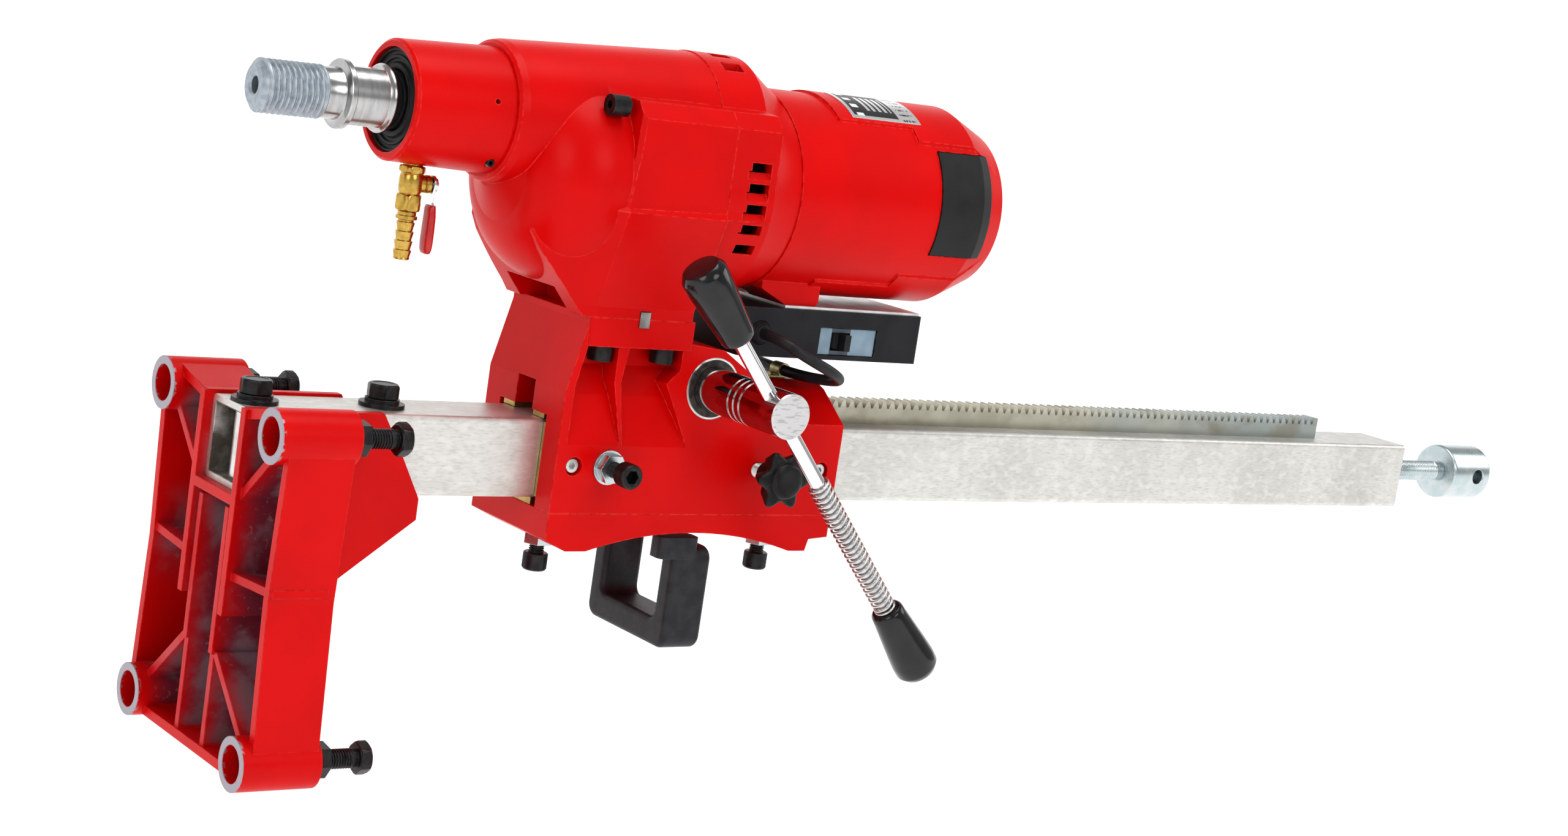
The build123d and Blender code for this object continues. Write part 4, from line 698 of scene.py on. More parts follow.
@dataclass
class Turned:
    """A piece made of rings along an axis, each with its own outline, in mm."""

    name: str
    origin: Point
    axis: Point
    side: Point
    segments: int = 64
    sharp: float = 32.0
    stations: list[tuple[float, Radius]] = field(default_factory=list)

    def ring(self, along: float, section: "Radius | float") -> "Turned":
        """Adds one ring.

        Args:
            along: place on the axis.
            section: a radius, or the radius at each angle.

        Returns:
            The piece itself.
        """
        self.stations.append((along, section if callable(section) else round_section(section)))
        return self

    def rings(self, profile: Iterable[tuple[float, float]]) -> "Turned":
        """Adds round rings.

        Args:
            profile: places on the axis and radii.

        Returns:
            The piece itself.
        """
        for along, radius in profile:
            self.ring(along, radius)
        return self

    def hexes(self, flats: float, turn: float, profile: Iterable[tuple[float, float]]) -> "Turned":
        """Adds hexagonal rings.

        Args:
            flats: width across flats.
            turn: turn about the axis, in degrees.
            profile: places on the axis, and the radii that cut the corners.

        Returns:
            The piece itself.
        """
        for along, cap in profile:
            self.ring(along, hex_section(flats, turn, cap))
        return self

    def thread(self, start: float, end: float, radius: float, pitch: float,
               depth: float) -> "Turned":
        """Adds a helical thread that runs out at both ends.

        Args:
            start: where it starts on the axis.
            end: where it ends.
            radius: outside radius.
            pitch: pitch.
            depth: depth.

        Returns:
            The piece itself.
        """
        steps = max(2, round(abs(end - start) / pitch * 8))
        for step in range(steps + 1):
            along = start + (end - start) * step / steps
            near = min(abs(along - start), abs(end - along)) / pitch
            fade = min(1.0, near / 0.9)

            def radius_at(angle: float, along: float = along, fade: float = fade) -> float:
                """Thread form at one angle."""
                phase = (along / pitch - angle / (2 * math.pi)) % 1.0
                crest = min(1.0, max(0.0, (abs(phase - 0.5) * 2 - 0.10) / 0.76))
                return radius - depth * fade * (1.0 - crest)
            self.ring(along, radius_at)
        return self

    def build(self) -> bpy.types.Object:
        """Makes the mesh, closed at both ends.

        Returns:
            The new object.
        """
        axis = Vector(self.axis).normalized()
        first = Vector(self.side).normalized()
        second = axis.cross(first)
        points: list[Vector] = []
        for along, section in self.stations:
            for step in range(self.segments):
                angle = 2 * math.pi * step / self.segments
                out = first * math.cos(angle) + second * math.sin(angle)
                points.append(Vector(self.origin) + axis * along + out * section(angle))
        return make_mesh(self.name, points, skin(len(self.stations), self.segments), self.sharp)


def tube_along(name: str, points: Sequence[Vector], radius: float, sides: int = 10) -> bpy.types.Object:
    """Makes a round wire that follows points.

    Args:
        name: the piece's name.
        points: the points.
        radius: the wire's radius.
        sides: corners of its section.

    Returns:
        The new object.
    """
    corners: list[Vector] = []
    normal = Vector((0.0, 0.0, 1.0))
    for index, point in enumerate(points):
        ahead = points[min(index + 1, len(points) - 1)] - points[max(index - 1, 0)]
        ahead.normalize()
        normal = (normal - ahead * normal.dot(ahead)).normalized()
        other = ahead.cross(normal)
        for step in range(sides):
            angle = 2 * math.pi * step / sides
            corners.append(point + (normal * math.cos(angle) + other * math.sin(angle)) * radius)
    return make_mesh(name, corners, skin(len(points), sides), 60.0)


# ---------------------------------------------------------------- stand
@dataclass
class Stand:
    """Base casting, column, rack, and the screws that level and brace it."""

    screw_radius: float = 6.0
    screw_pitch: float = 1.75
    flats: float = 18.0
    screw_turn: float = 21.0
    bolt_turn: float = 12.0
    bolt_places: tuple[float, ...] = (24.5, 108.0)
    jack_radius: float = 8.0
    jack_thread_start: float = 968.0
    jack_head_start: float = 1082.0

    def dress(self) -> None:
        """Finishes the CAD nodes that stay in view."""
        carry(BASE, "base_plate")
        carry(COLUMN, "column_tube")
        carry(BRIGHT, "column_spacers", "jack_nut_block")
        carry(BLACK_OXIDE, "column_washers", "column_nuts", "rack_screws", "levelling_nuts")
        carry(RACK, "gear_rack")

    def levelling_screw(self, place: str) -> None:
        """Makes one hex-headed levelling screw with its full thread.

        Args:
            place: the screw's place in its node's name.
        """
        node = "levelling_screw_" + place
        low, high = box_mm(node)
        middle = (low + high) / 2
        screw = Turned(node + "_threaded", (0.0, middle.y, middle.z), (1, 0, 0), (0, 1, 0), 48)
        head = high.x - 7.5
        screw.rings([(low.x, 4.4), (low.x + 1.2, 5.7)])
        screw.thread(low.x + 1.4, head - 3.0, self.screw_radius, self.screw_pitch, 1.05)
        screw.rings([(head - 3.0, 5.3), (head, 5.3), (head, 8.4), (head + 0.4, 8.7)])
        screw.hexes(self.flats, self.screw_turn, [(head + 0.4, 9.6), (head + 1.2, 10.35),
                                                  (high.x - 1.3, 10.35), (high.x - 0.5, 9.4)])
        screw.rings([(high.x, 8.5), (high.x, 6.9), (high.x - 0.25, 6.6), (high.x - 0.25, 1.0)])
        clothe(screw.build(), BLACK_OXIDE, "levelling_" + place, node)

    def column_bolts(self) -> None:
        """Makes the two bolts through the column, with chamfered heads."""
        low, high = box_mm("column_bolts")
        for number, x in enumerate(self.bolt_places):
            bolt = Turned(f"column_bolt_{number}", (x, 0.0, 0.0), (0, 0, 1), (1, 0, 0), 48)
            top = high.z
            head = top - 8.9
            bolt.rings([(low.z, 4.6)])
            bolt.thread(low.z + 0.6, low.z + 26.0, self.screw_radius, self.screw_pitch, 1.0)
            bolt.rings([(low.z + 26.0, 5.9), (head, 5.9), (head, 8.3)])
            bolt.hexes(self.flats, self.bolt_turn, [(head + 0.3, 9.7), (head + 1.0, 10.35),
                                                    (top - 1.5, 10.35), (top - 0.6, 9.4)])
            bolt.rings([(top, 8.5), (top, 7.0), (top - 0.3, 6.7), (top - 0.3, 1.0)])
            nodes = ("column_bolts",) if number == 0 else ()
            clothe(bolt.build(), BLACK_OXIDE, "stand", *nodes)

    def jack(self) -> None:
        """Makes the jack screw: thread, turned neck and drilled round head."""
        low, high = box_mm("jack_screw")
        head = self.jack_head_start
        rod = Turned("jack_screw_thread", (0, 0, 0), (1, 0, 0), (0, 1, 0), 48)
        rod.rings([(low.x, 6.6), (low.x + 1.0, 7.9), (self.jack_thread_start, 7.9)])
        rod.thread(self.jack_thread_start, head - 5.0, self.jack_radius, 2.0, 1.15)
        rod.rings([(head - 5.0, 7.2), (head + 2.0, 7.2)])
        clothe(rod.build(), BLUE_ZINC, "jack")
        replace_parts(self.jack_head(head, high.x), "jack_screw")

    def jack_head(self, start: float, end: float) -> bpy.types.Object:
        """Makes the round head with its cross hole.

        Args:
            start: where the head starts along the column.
            end: where it ends.

        Returns:
            The new piece.
        """
        radius, hole, hole_x = 21.5, 6.0, start + 29.0
        head = Turned("jack_screw_head", (0, 0, 0), (1, 0, 0), (0, 1, 0), 96)
        head.rings([(start, 7.4), (start, radius - 1.4), (start + 0.5, radius - 0.5), (start + 1.4, radius)])
        head.rings([(start + 1.4 + (end - start - 3.0) * step / 24, radius) for step in range(1, 25)])
        head.rings([(end - 1.1, radius - 0.1), (end - 0.4, radius - 0.5),
                    (end, radius - 1.3), (end, 9.0), (end, 1.0)])
        piece = head.build()
        drill = Turned("jack_cross_drill", (hole_x, 0, 0), (0, 1, 0), (0, 0, 1), 40)
        drill.rings([(-30.0, hole + 9.3), (-radius + 0.8, hole), (radius - 0.8, hole), (30.0, hole + 9.3)])
        cutter = drill.build()
        cut = piece.modifiers.new("cross_hole", "BOOLEAN")
        cut.object = cutter
        cut.operation = "DIFFERENCE"
        bpy.context.view_layer.update()
        graph = bpy.context.evaluated_depsgraph_get()
        mesh = bpy.data.meshes.new_from_object(piece.evaluated_get(graph))
        piece.modifiers.clear()
        piece.data = mesh
        bpy.data.objects.remove(cutter)
        mesh.set_sharp_from_angle(angle=math.radians(32.0))
        return clothe(piece, BLUE_ZINC, "jack")

    def build(self) -> None:
        """Builds the whole stand."""
        self.dress()
        for place in ("near_top", "far_top", "near_bottom", "far_bottom"):
            self.levelling_screw(place)
        self.column_bolts()
        self.jack()


# ---------------------------------------------------------------- carriage
@dataclass
class Carriage:
    """Sliding carriage with its guide adjusters, bearings and carrying handle."""

    adjuster_radius: float = 5.0
    adjuster_pitch: float = 1.5
    socket: float = 8.0

    def dress(self) -> None:
        """Finishes the CAD nodes that stay in view."""
        carry(RED, "carriage_housing", "lower_plate")
        carry(BRONZE, "guide_pads")
        carry(BLUE_ZINC, "adjuster_nuts")
        carry(BRIGHT, "pad_screws")
        carry(GEAR, "locating_key")
        carry(BLACK_OXIDE, "seat_screws")
        carry(BEARING, "pinion_bearings")
        clothe(soften("carrying_handle", "carrying_handle_soft", 4.0), HANDLE, "carriage",
               "carrying_handle")

    def adjuster(self, name: str, origin: Point, axis: Point, side: Point, length: float,
                 head: float, *nodes: str) -> None:
        """Makes one socket-headed adjusting screw.

        Args:
            name: the piece's name.
            origin: inner end of its thread.
            axis: direction of its head.
            side: any direction square to that.
            length: length of the thread.
            head: length of the head.
            nodes: CAD nodes that it replaces.
        """
        screw = Turned(name, origin, axis, side, 72)
        top = length + head
        screw.rings([(0.0, 4.2)])
        screw.thread(0.3, length - 0.5, self.adjuster_radius, self.adjuster_pitch, 0.85)
        screw.rings([(length - 0.5, 4.9), (length, 4.9), (length, 7.3), (length + 0.6, 7.9)])
        knurl: Radius = lambda angle: 7.82 + 0.16 * math.cos(36 * angle)
        screw.ring(length + 0.8, knurl).ring(top - 1.4, knurl)
        screw.rings([(top - 1.2, 7.8), (top - 0.2, 7.1), (top, 6.6), (top, 4.9)])
        screw.hexes(self.socket, 0.0, [(top - 0.5, 4.7), (top - 7.0, 4.7)])
        clothe(screw.build(), BLACK_OXIDE, "carriage", *nodes)

    def bearing_faces(self) -> None:
        """Makes the shields and ring lips that show at both pinion bearings."""
        for side, name in ((-1.0, "near"), (1.0, "far")):
            face = Turned("pinion_bearing_shield_" + name, (CARRIAGE_X, side * 46.0, PINION_Z),
                          (0, side, 0), (1, 0, 0), 96)
            face.rings([(-1.0, 18.7), (0.05, 18.7), (0.15, 18.3), (0.05, 17.4), (-0.12, 15.8),
                        (-0.02, 14.2), (0.08, 13.0), (0.02, 12.5), (-1.0, 12.45)])
            clothe(face.build(), SHIELD, "carriage")

    def build(self) -> None:
        """Builds the carriage."""
        self.dress()
        self.adjuster("adjuster_lower_left", (231.5, 0, -30.0), (0, 0, -1), (1, 0, 0),
                      36.0, 11.4, "adjuster_screws")
        self.adjuster("adjuster_lower_right", (405.0, 0, -30.0), (0, 0, -1), (1, 0, 0), 36.0, 11.4)
        self.adjuster("adjuster_side", (246.0, -28.6, 0), (0, -1, 0), (1, 0, 0), 35.5, 10.8)
        self.bearing_faces()


# ---------------------------------------------------------------- feed crank and clamp
@dataclass
class FeedCrank:
    """Cross bar with two knobs and a spring, in the hub of the pinion shaft."""

    bar_y: float = -118.0
    turn: float = -49.2
    bar_radius: float = 5.0
    coil_radius: float = 6.54
    wire_radius: float = 0.82
    clamp_x: float = 361.5

    def axis(self) -> Vector:
        """Direction of the bar towards its long end."""
        return Vector((math.cos(math.radians(self.turn)), 0.0, math.sin(math.radians(self.turn))))

    def origin(self) -> Point:
        """Where the bar crosses the hub's axis."""
        return (CARRIAGE_X, self.bar_y, PINION_Z)

    def bar(self) -> None:
        """Makes the bar, with the shallow flat line along it."""
        bar = Turned("crank_bar_ground", self.origin(), tuple(self.axis()), (0, 1, 0), 64)

        def flatted(angle: float) -> float:
            """Section with one narrow flat."""
            return min(self.bar_radius, 4.80 / max(0.2, math.cos(angle - 2.45)))
        bar.ring(-72.0, 4.4).ring(-71.4, 5.0)
        for along in (-64.0, -30.0, -14.0, 14.0, 60.0, 120.0, 172.0):
            bar.ring(along, flatted)
        bar.ring(189.4, 5.0).ring(190.0, 4.4)
        clothe(bar.build(), CHROME, "crank", "crank_bar")

    def knob(self, name: str, start: float, sense: float) -> None:
        """Makes one tapered knob with a soft rim and a shallow collar.

        Args:
            name: the node it stands for.
            start: where its neck starts on the bar.
            sense: one towards the long end, minus one away from it.
        """
        axis = self.axis() * sense
        origin = Vector(self.origin()) + self.axis() * start
        knob = Turned(name + "_moulded", tuple(origin), tuple(axis), (0, 1, 0), 96, 24.0)
        profile = ((3.0, 5.2), (0.3, 5.4), (0.02, 6.4), (0.0, 8.2), (0.3, 9.3), (1.2, 10.3), (2.2, 10.8),
                   (6.0, 11.2), (18.0, 12.35), (32.0, 13.7), (43.0, 14.65), (50.4, 14.65), (51.2, 14.4),
                   (54.6, 12.3), (55.2, 11.7), (55.4, 10.8), (55.4, 0.4))
        knob.rings(profile)
        clothe(knob.build(), KNOB, "crank", name)

    def spring(self, start: float = 59.6, end: float = 166.2, turns: float = 26.0) -> None:
        """Makes the coil spring round the bar.

        Args:
            start: where it starts on the bar.
            end: where it ends.
            turns: number of coils.
        """
        axis = self.axis()
        first = Vector((0.0, 1.0, 0.0))
        second = axis.cross(first)
        steps = int(turns * 30)
        points: list[Vector] = []
        for step in range(steps + 1):
            share = step / steps
            closed = 0.75 / turns
            if share < closed:
                run = share * 0.25
            elif share > 1 - closed:
                run = 1 - (1 - share) * 0.25
            else:
                run = closed * 0.25 + (share - closed) / (1 - 2 * closed) * (1 - closed * 0.5)
            angle = 2 * math.pi * turns * share
            out = first * math.cos(angle) + second * math.sin(angle)
            along = start + (end - start) * run
            points.append(Vector(self.origin()) + axis * along + out * self.coil_radius)
        clothe(tube_along("crank_spring_coil", points, self.wire_radius, 10), SPRING, "crank",
               "crank_spring")

    def star_knob(self) -> None:
        """Makes the six-lobed clamp knob with its boss and cap."""
        knob = Turned("clamp_knob_moulded", (self.clamp_x, 0, 0), (0, -1, 0), (1, 0, 0), 144, 50.0)

        def lobes(grow: float) -> Radius:
            """Outline of the grip, offset by some amount."""
            return lambda angle: 16.9 + 3.0 * math.cos(6 * angle) + 0.3 * math.cos(12 * angle) + grow
        knob.rings([(55.0, 5.1), (55.0, 7.4), (55.6, 7.8), (61.6, 7.9)])
        for along, grow in ((62.0, -8.6), (62.1, -7.4), (62.8, -6.4), (64.0, -5.6), (66.0, -4.6),
                            (73.0, -0.4), (75.2, 0.0), (76.4, -1.0), (76.9, -2.4), (77.0, -4.6)):
            knob.ring(along, lobes(grow))
        knob.rings([(77.2, 11.9), (79.6, 11.4), (80.6, 10.2), (80.95, 7.0), (80.6, 4.2), (80.5, 1.0)])
        clothe(knob.build(), STAR, "clamp", "clamp_knob")
        stud = Turned("clamp_stud_threaded", (self.clamp_x, 0, 0), (0, -1, 0), (1, 0, 0), 48)
        stud.rings([(29.0, 4.2)])
        stud.thread(29.4, 60.0, 4.95, 1.5, 0.8)
        stud.rings([(68.8, 4.2)])
        clothe(stud.build(), BRIGHT, "clamp", "clamp_stud")

    def build(self) -> None:
        """Builds the crank and the clamp knob."""
        carry(HUB, "pinion_shaft")
        self.bar()
        self.knob("crank_knob_upper", -58.0, -1.0)
        self.knob("crank_knob_lower", 167.0, 1.0)
        self.spring()
        self.star_knob()


# ---------------------------------------------------------------- drill unit
@dataclass
class DrillUnit:
    """Gearbox, motor and the threaded spindle with its seal."""

    thread_radius: float = 15.875
    thread_pitch: float = 3.55

    def dress(self) -> None:
        """Finishes the CAD nodes that stay in view."""
        carry(RED, "spindle_nose", "gearbox_housing", "fan_housing", "motor_housing")
        carry(COVER, "brush_cover_near", "brush_cover_far")
        carry(SHEET, "bearing_plate")
        carry(BEARING, "spindle_bearings", "drive_bearings")
        carry(LAMINATE, "stator_core", "armature")
        carry(CARBON, "carbon_brushes")
        carry(LABEL, "name_plate")
        carry(BLACK_OXIDE, "case_screws")
        carry(GEAR, "spindle_gear", "layshaft")
        carry(FAN, "cooling_fan")

    def spindle(self) -> None:
        """Makes the spindle: phosphated thread, ground neck, wrench flats and shoulder."""
        thread = Turned("spindle_thread", (0, 0, SPINDLE_Z), (1, 0, 0), (0, 1, 0), 96, 40.0)
        thread.rings([(24.0, 5.0), (1.2, 5.0), (0.2, 6.0), (0.0, 6.6),
                      (0.0, 11.2), (0.5, 12.4), (3.0, 14.6)])
        thread.thread(3.1, 40.2, self.thread_radius, self.thread_pitch, 1.75)
        thread.rings([(40.2, 15.1), (41.0, 14.9)])
        clothe(thread.build(), THREAD, "spindle", "spindle")
        shank = Turned("spindle_shank", (0, 0, SPINDLE_Z), (1, 0, 0), (0, 1, 0), 120, 30.0)

        def flats(angle: float) -> float:
            """Section with two wrench flats."""
            return min(19.0, 17.0 / max(0.05, abs(math.sin(angle))))
        shank.rings([(40.9, 14.0), (40.9, 14.9), (41.2, 15.15), (50.5, 15.15),
                     (51.6, 15.5), (52.2, 16.4), (52.6, 20.1), (53.1, 20.6),
                     (56.0, 20.6), (56.5, 20.1), (56.6, 19.0)])
        shank.ring(56.7, flats).ring(77.6, flats)
        shank.rings([(78.0, 19.0), (79.8, 20.4), (80.3, 20.6), (81.6, 20.6),
                     (82.0, 20.2), (82.1, 17.5), (117.8, 17.5), (118.0, 15.0),
                     (243.0, 15.0), (243.0, 10.0), (287.0, 10.0)])
        clothe(shank.build(), SPINDLE, "spindle")

    def seal(self) -> None:
        """Makes the stepped seal ring with its two lips."""
        seal = Turned("spindle_seal_ring", (0, 0, SPINDLE_Z), (1, 0, 0), (0, 1, 0), 120, 30.0)
        seal.rings([(95.9, 17.9), (95.9, 31.1), (89.8, 31.1), (89.1, 30.6),
                    (89.05, 29.2), (90.9, 28.6), (91.0, 26.9), (90.1, 26.4),
                    (90.1, 24.9), (91.4, 24.4), (91.4, 22.8), (89.6, 21.6),
                    (89.1, 20.4), (89.3, 19.0), (90.6, 17.85), (95.9, 17.85)])
        clothe(seal.build(), SEAL, "carriage", "spindle_seal")

    def build(self) -> None:
        """Builds the drill unit."""
        self.dress()
        self.spindle()
        self.seal()


# ---------------------------------------------------------------- water valve
@dataclass
class WaterValve:
    """Brass ball valve with a hose barb and a sleeved lever."""

    x: float = 108.5
    stem_z: float = 161.0

    def body(self) -> None:
        """Makes the turned and hexed body with its barbs."""
        body = Turned("valve_body_turned", (self.x, 0, 0), (0, 0, -1), (1, 0, 0), 96, 30.0)
        body.rings([(-181.0, 5.4)])
        body.thread(-180.6, -171.6, 6.0, 1.3, 0.7)
        body.hexes(15.0, 10.0, [(-171.2, 7.6), (-170.4, 8.2), (-168.0, 8.2)])
        body.rings([(-167.3, 7.3), (-166.6, 6.4), (-165.4, 6.9), (-163.0, 7.15),
                    (-159.0, 7.2), (-156.0, 6.9), (-154.6, 6.3)])
        body.hexes(14.6, 4.0, [(-154.0, 7.4), (-153.2, 8.0), (-145.6, 8.0), (-144.8, 7.4)])
        body.rings([(-144.2, 6.4), (-143.6, 5.6), (-141.8, 5.6), (-141.4, 6.5),
                    (-139.4, 6.5), (-138.8, 4.7)])
        for top in (-138.0, -132.4, -126.8, -121.2):
            body.rings([(top, 4.7), (top + 0.5, 5.55), (top + 1.2, 5.5), (top + 4.9, 4.75)])
        body.rings([(-115.6, 5.0), (-115.0, 4.6), (-115.0, 3.4), (-122.0, 3.2)])
        clothe(body.build(), BRASS, "carriage", "valve_body")
        boss = Turned("valve_stem_boss", (self.x, 0, self.stem_z), (1, 0, 0), (0, 1, 0), 72, 30.0)
        boss.rings([(3.0, 5.5), (7.6, 5.5), (8.2, 5.1), (9.0, 4.9), (9.4, 5.5), (11.8, 5.5),
                    (12.4, 5.0), (12.4, 3.7), (10.0, 3.7)])
        clothe(boss.build(), BRASS, "carriage")

    def lever(self) -> None:
        """Makes the bent plate lever, its nut and its soft sleeve."""
        stem = Turned("valve_stem", (self.x, 0, self.stem_z), (1, 0, 0), (0, 1, 0), 48, 30.0)
        stem.rings([(3.8, 3.5), (12.6, 3.5), (12.6, 2.8), (15.2, 2.8)])
        stem.hexes(8.0, 0.0, [(15.2, 4.3), (16.9, 4.3)])
        stem.rings([(17.3, 3.4), (17.3, 0.6)])
        clothe(stem.build(), CHROME, "valve")
        rows = ((166.6, 13.1, 2.2), (165.4, 13.1, 4.4), (163.4, 13.1, 5.6), (160.4, 13.1, 5.8),
                (157.4, 13.1, 4.8), (154.6, 13.1, 3.6), (151.8, 13.2, 3.2), (149.6, 13.8, 3.3),
                (147.6, 14.5, 3.6), (144.0, 14.9, 3.8), (138.0, 15.0, 3.9), (128.0, 15.0, 3.9),
                (121.4, 15.0, 3.2))
        self.strip("valve_lever_plate", rows, 1.7, CHROME)
        sleeve = ((149.0, 14.0, 3.0, 1.4), (148.6, 13.8, 4.3, 2.0), (147.0, 13.6, 4.8, 2.4),
                  (142.0, 13.9, 5.1, 2.7), (134.0, 13.9, 5.3, 2.9), (126.0, 13.9, 5.3, 2.9),
                  (121.8, 13.9, 4.9, 2.7), (119.7, 14.0, 3.8, 2.1), (119.1, 14.2, 2.4, 1.2))
        sides = 24
        points: list[Point] = []
        for level, mid, half, thick in sleeve:
            for step in range(sides):
                angle = 2 * math.pi * step / sides
                wide, deep = math.cos(angle), math.sin(angle)
                points.append((self.x + mid + 1.6 + math.copysign(abs(deep) ** 0.7, deep) * thick,
                               math.copysign(abs(wide) ** 0.7, wide) * half, level))
        clothe(make_mesh("valve_lever_sleeve", points, skin(len(sleeve), sides), 50.0), SLEEVE,
               "valve", "valve_lever")

    def strip(self, name: str, rows: Sequence[tuple[float, float, float]], thick: float,
              finish: Finish) -> None:
        """Makes a thin bent strip.

        Args:
            name: the piece's name.
            rows: level, distance from the valve's axis and half width of each row, in mm.
            thick: thickness, in mm.
            finish: its finish.
        """
        points: list[Point] = []
        for level, out, half in rows:
            for dx, dy in ((0, -1), (0, 1), (thick, 1), (thick, -1)):
                points.append((self.x + out + dx, dy * half, level))
        clothe(make_mesh(name, points, skin(len(rows), 4), 40.0), finish, "valve")

    def build(self) -> None:
        """Builds the valve."""
        self.body()
        self.lever()


# ---------------------------------------------------------------- switch box
@dataclass
class SwitchBox:
    """Switch box under the motor with its breaker, lead and clip."""

    lead_diameter: float = 7.2
    lead_length: float = 0.2649
    route: tuple[Point, ...] = (
        (352.0, -37.0, 89.0), (352.0, -60.0, 89.0), (366.0, -73.0, 80.0), (390.0, -76.0, 70.0),
        (409.0, -58.0, 62.0), (402.0, -26.0, 59.0), (402.0, 22.0, 59.0), (402.0, 46.0, 62.0),
        (401.0, 58.0, 80.0), (400.0, 54.0, 102.0), (400.0, 54.0, 128.0),
    )

    def dress(self) -> None:
        """Finishes the CAD nodes that stay in view."""
        carry(CASE, "switch_box", "breaker_toggle")
        carry(SHEET, "switch_bracket")
        carry(BREAKER, "breaker_body")
        carry(CLIP, "cable_clip")

    def glands(self) -> None:
        """Makes the ribbed boots where the lead leaves the box and enters the motor."""
        boot = Turned("lead_boot_box", self.route[0], (0, -1, 0), (1, 0, 0), 64, 40.0)
        boot.rings([(-4.0, 3.7), (-4.0, 9.5), (-0.2, 9.5), (-0.2, 7.9), (3.0, 7.7), (3.6, 7.5),
                    (4.4, 6.4), (5.2, 6.2), (5.6, 5.6), (6.6, 5.3), (6.95, 4.6), (6.95, 3.7)])
        clothe(boot.build(), SEAL, "carriage", "cable_glands")
        gland = Turned("lead_gland_motor", self.route[-1], (0, 0, -1), (1, 0, 0), 72, 30.0)
        gland.hexes(17.0, 0.0, [(0.0, 9.3), (0.6, 9.75), (7.2, 9.75), (8.0, 9.0)])
        gland.rings([(8.0, 6.5), (12.0, 6.3), (13.4, 5.4), (13.9, 4.5), (13.9, 3.7)])
        clothe(gland.build(), COVER, "carriage")

    def lead(self) -> None:
        """Makes the short lead as one smooth spline."""
        curve = bpy.data.curves.new("motor_lead_flex", "CURVE")
        curve.dimensions = "3D"
        curve.bevel_depth = self.lead_diameter * MM / 2
        curve.bevel_resolution = 6
        curve.resolution_u = 24
        curve.use_fill_caps = True
        spline = curve.splines.new("NURBS")
        spline.points.add(len(self.route) - 1)
        for point, place in zip(spline.points, self.route):
            point.co = (*(part * MM for part in place), 1.0)
        spline.order_u = 3
        spline.use_endpoint_u = True
        piece = bpy.data.objects.new("motor_lead_flex", curve)
        bpy.context.scene.collection.objects.link(piece)
        clothe(piece, SHEATH, "carriage", "motor_lead")

    def build(self) -> None:
        """Builds the switch box and its lead."""
        self.dress()
        self.glands()
        self.lead()


# ---------------------------------------------------------------- studio
class Light(Enum):
    """Soft lights: place, target, size and power."""

    OVERHEAD = ((0.30, -0.30, 2.10), (0.35, 0.0, 0.05), 1.7, 22.0)
    LEFT = ((-1.70, -1.10, 0.95), (0.25, 0.0, 0.08), 1.2, 9.0)
    FRONT = ((0.50, -2.40, 1.25), (0.40, 0.0, 0.05), 1.3, 12.0)
    RIGHT = ((2.30, -0.60, 1.00), (0.60, 0.0, 0.05), 1.2, 6.5)


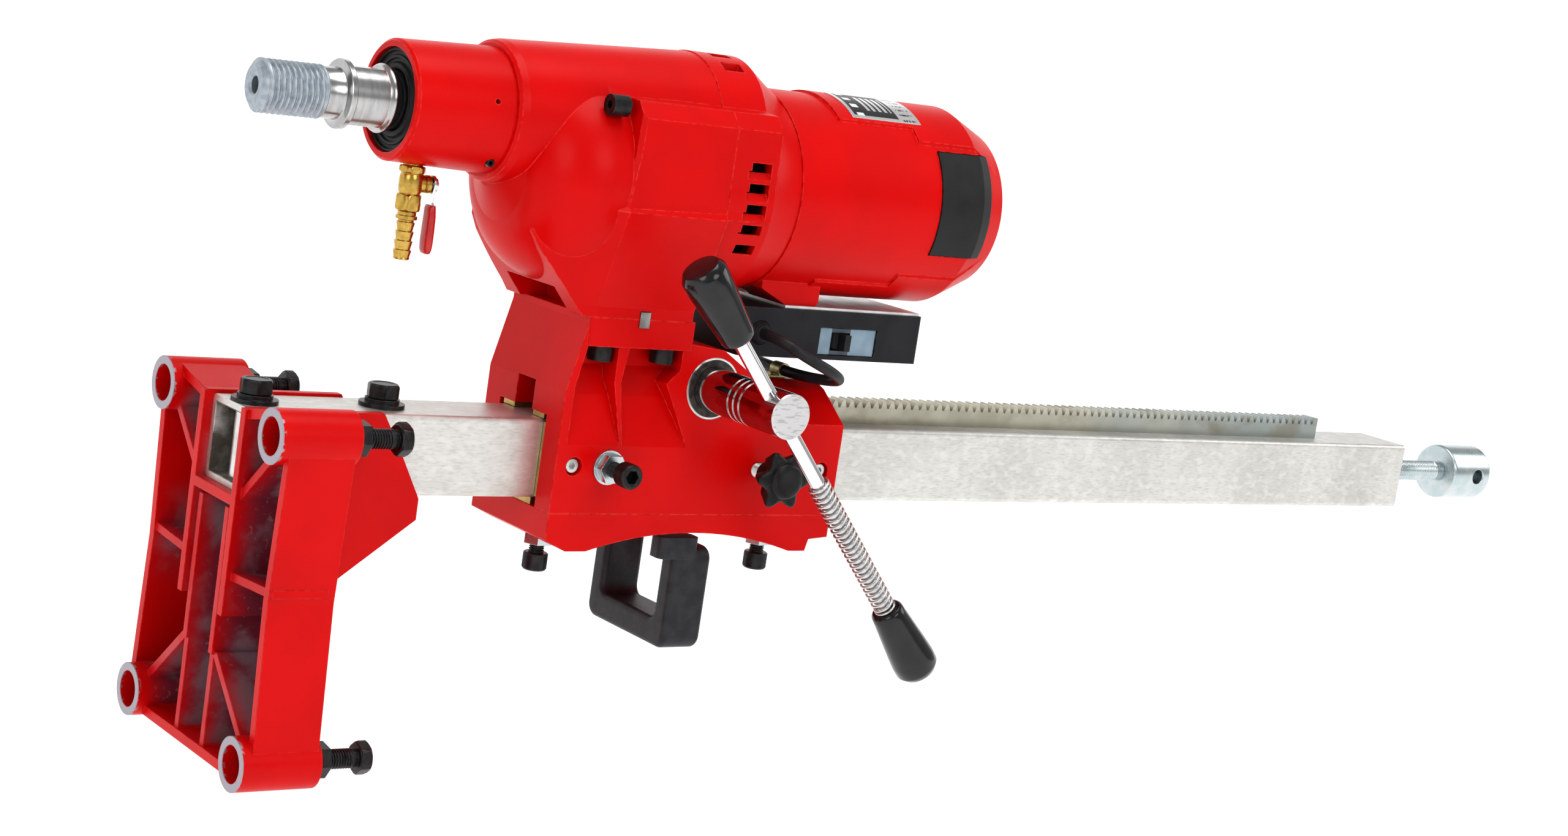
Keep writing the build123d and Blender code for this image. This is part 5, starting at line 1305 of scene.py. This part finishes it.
@dataclass
class Studio:
    """Pale floor, soft light and the camera."""

    floor_z: float = -0.1876
    camera_place: Point = (-0.6871, -1.4376, 0.3087)
    right: Point = (0.79961, -0.58187, 0.14850)
    up: Point = (-0.02671, 0.21258, 0.97678)
    forward: Point = (0.59993, 0.78501, -0.15444)
    lens: float = 62.80

    def floor(self) -> None:
        """Lays the floor, curved up far behind the object."""
        rows = [(-30.0, 0.0), (4.5, 0.0)]
        rows += [(4.5 + 2.0 * math.sin(a), 2.0 - 2.0 * math.cos(a)) for a in (0.3, 0.6, 0.9, 1.2, 1.5707)]
        rows.append((6.5, 6.0))
        points = [(x, y, self.floor_z + z) for y, z in rows for x in (-30.0, 30.0)]
        faces = [(2 * n, 2 * n + 1, 2 * n + 3, 2 * n + 2) for n in range(len(rows) - 1)]
        floor = make_mesh("studio_floor", points, faces, 80.0, 1.0)
        shader = Shader("studio_floor_white")
        tone = shader.mix(shader.noise(0.4, 2.0), (0.36, 0.36, 0.36), (0.34, 0.34, 0.34))
        shader.add_output(shader.add("ShaderNodeBsdfPrincipled", None, {
            "Base Color": tone, "Roughness": 0.9, "Specular IOR Level": 0.0,
            "Emission Color": (1.0, 1.0, 1.0, 1.0), "Emission Strength": 0.84,
        }))
        floor.data.materials.append(shader.material)

    def lights(self) -> None:
        """Hangs the soft lights and sets an even surround."""
        for light in Light:
            place, target, size, power = light.value
            data = bpy.data.lights.new(light.name.lower() + "_softbox", "AREA")
            data.shape = "DISK"
            data.size = size
            data.energy = power
            lamp = bpy.data.objects.new(data.name, data)
            bpy.context.scene.collection.objects.link(lamp)
            lamp.location = place
            lamp.rotation_euler = (Vector(target) - Vector(place)).to_track_quat("-Z", "Y").to_euler()
        world = bpy.data.worlds.new("studio_surround")
        world.use_nodes = True
        world.node_tree.nodes["Background"].inputs["Color"].default_value = (1.0, 1.0, 1.0, 1.0)
        world.node_tree.nodes["Background"].inputs["Strength"].default_value = 0.40
        bpy.context.scene.world = world

    def camera(self) -> None:
        """Sets the camera at its viewing angle."""
        data = bpy.data.cameras.new("studio_camera")
        data.sensor_width = 36.0
        data.lens = self.lens
        data.clip_end = 50.0
        camera = bpy.data.objects.new("studio_camera", data)
        bpy.context.scene.collection.objects.link(camera)
        axes = Matrix((self.right, self.up, [-part for part in self.forward])).transposed()
        camera.matrix_world = Matrix.Translation(self.camera_place) @ axes.to_4x4()
        bpy.context.scene.camera = camera

    def build(self) -> None:
        """Builds the studio."""
        self.floor()
        self.lights()
        self.camera()
        bpy.context.scene.view_settings.view_transform = "Standard"
        bpy.context.scene.view_settings.look = "Medium High Contrast"


def main() -> None:
    """Builds the rig and its studio, in order."""
    logging.basicConfig(level=logging.INFO, format="%(name)s: %(message)s")
    for part in (Studio(), Stand(), Carriage(), FeedCrank(), DrillUnit(), WaterValve(), SwitchBox()):
        LOG.info("building %s", type(part).__name__)
        part.build()
    bpy.context.view_layer.update()


if __name__ == "__main__":
    main()
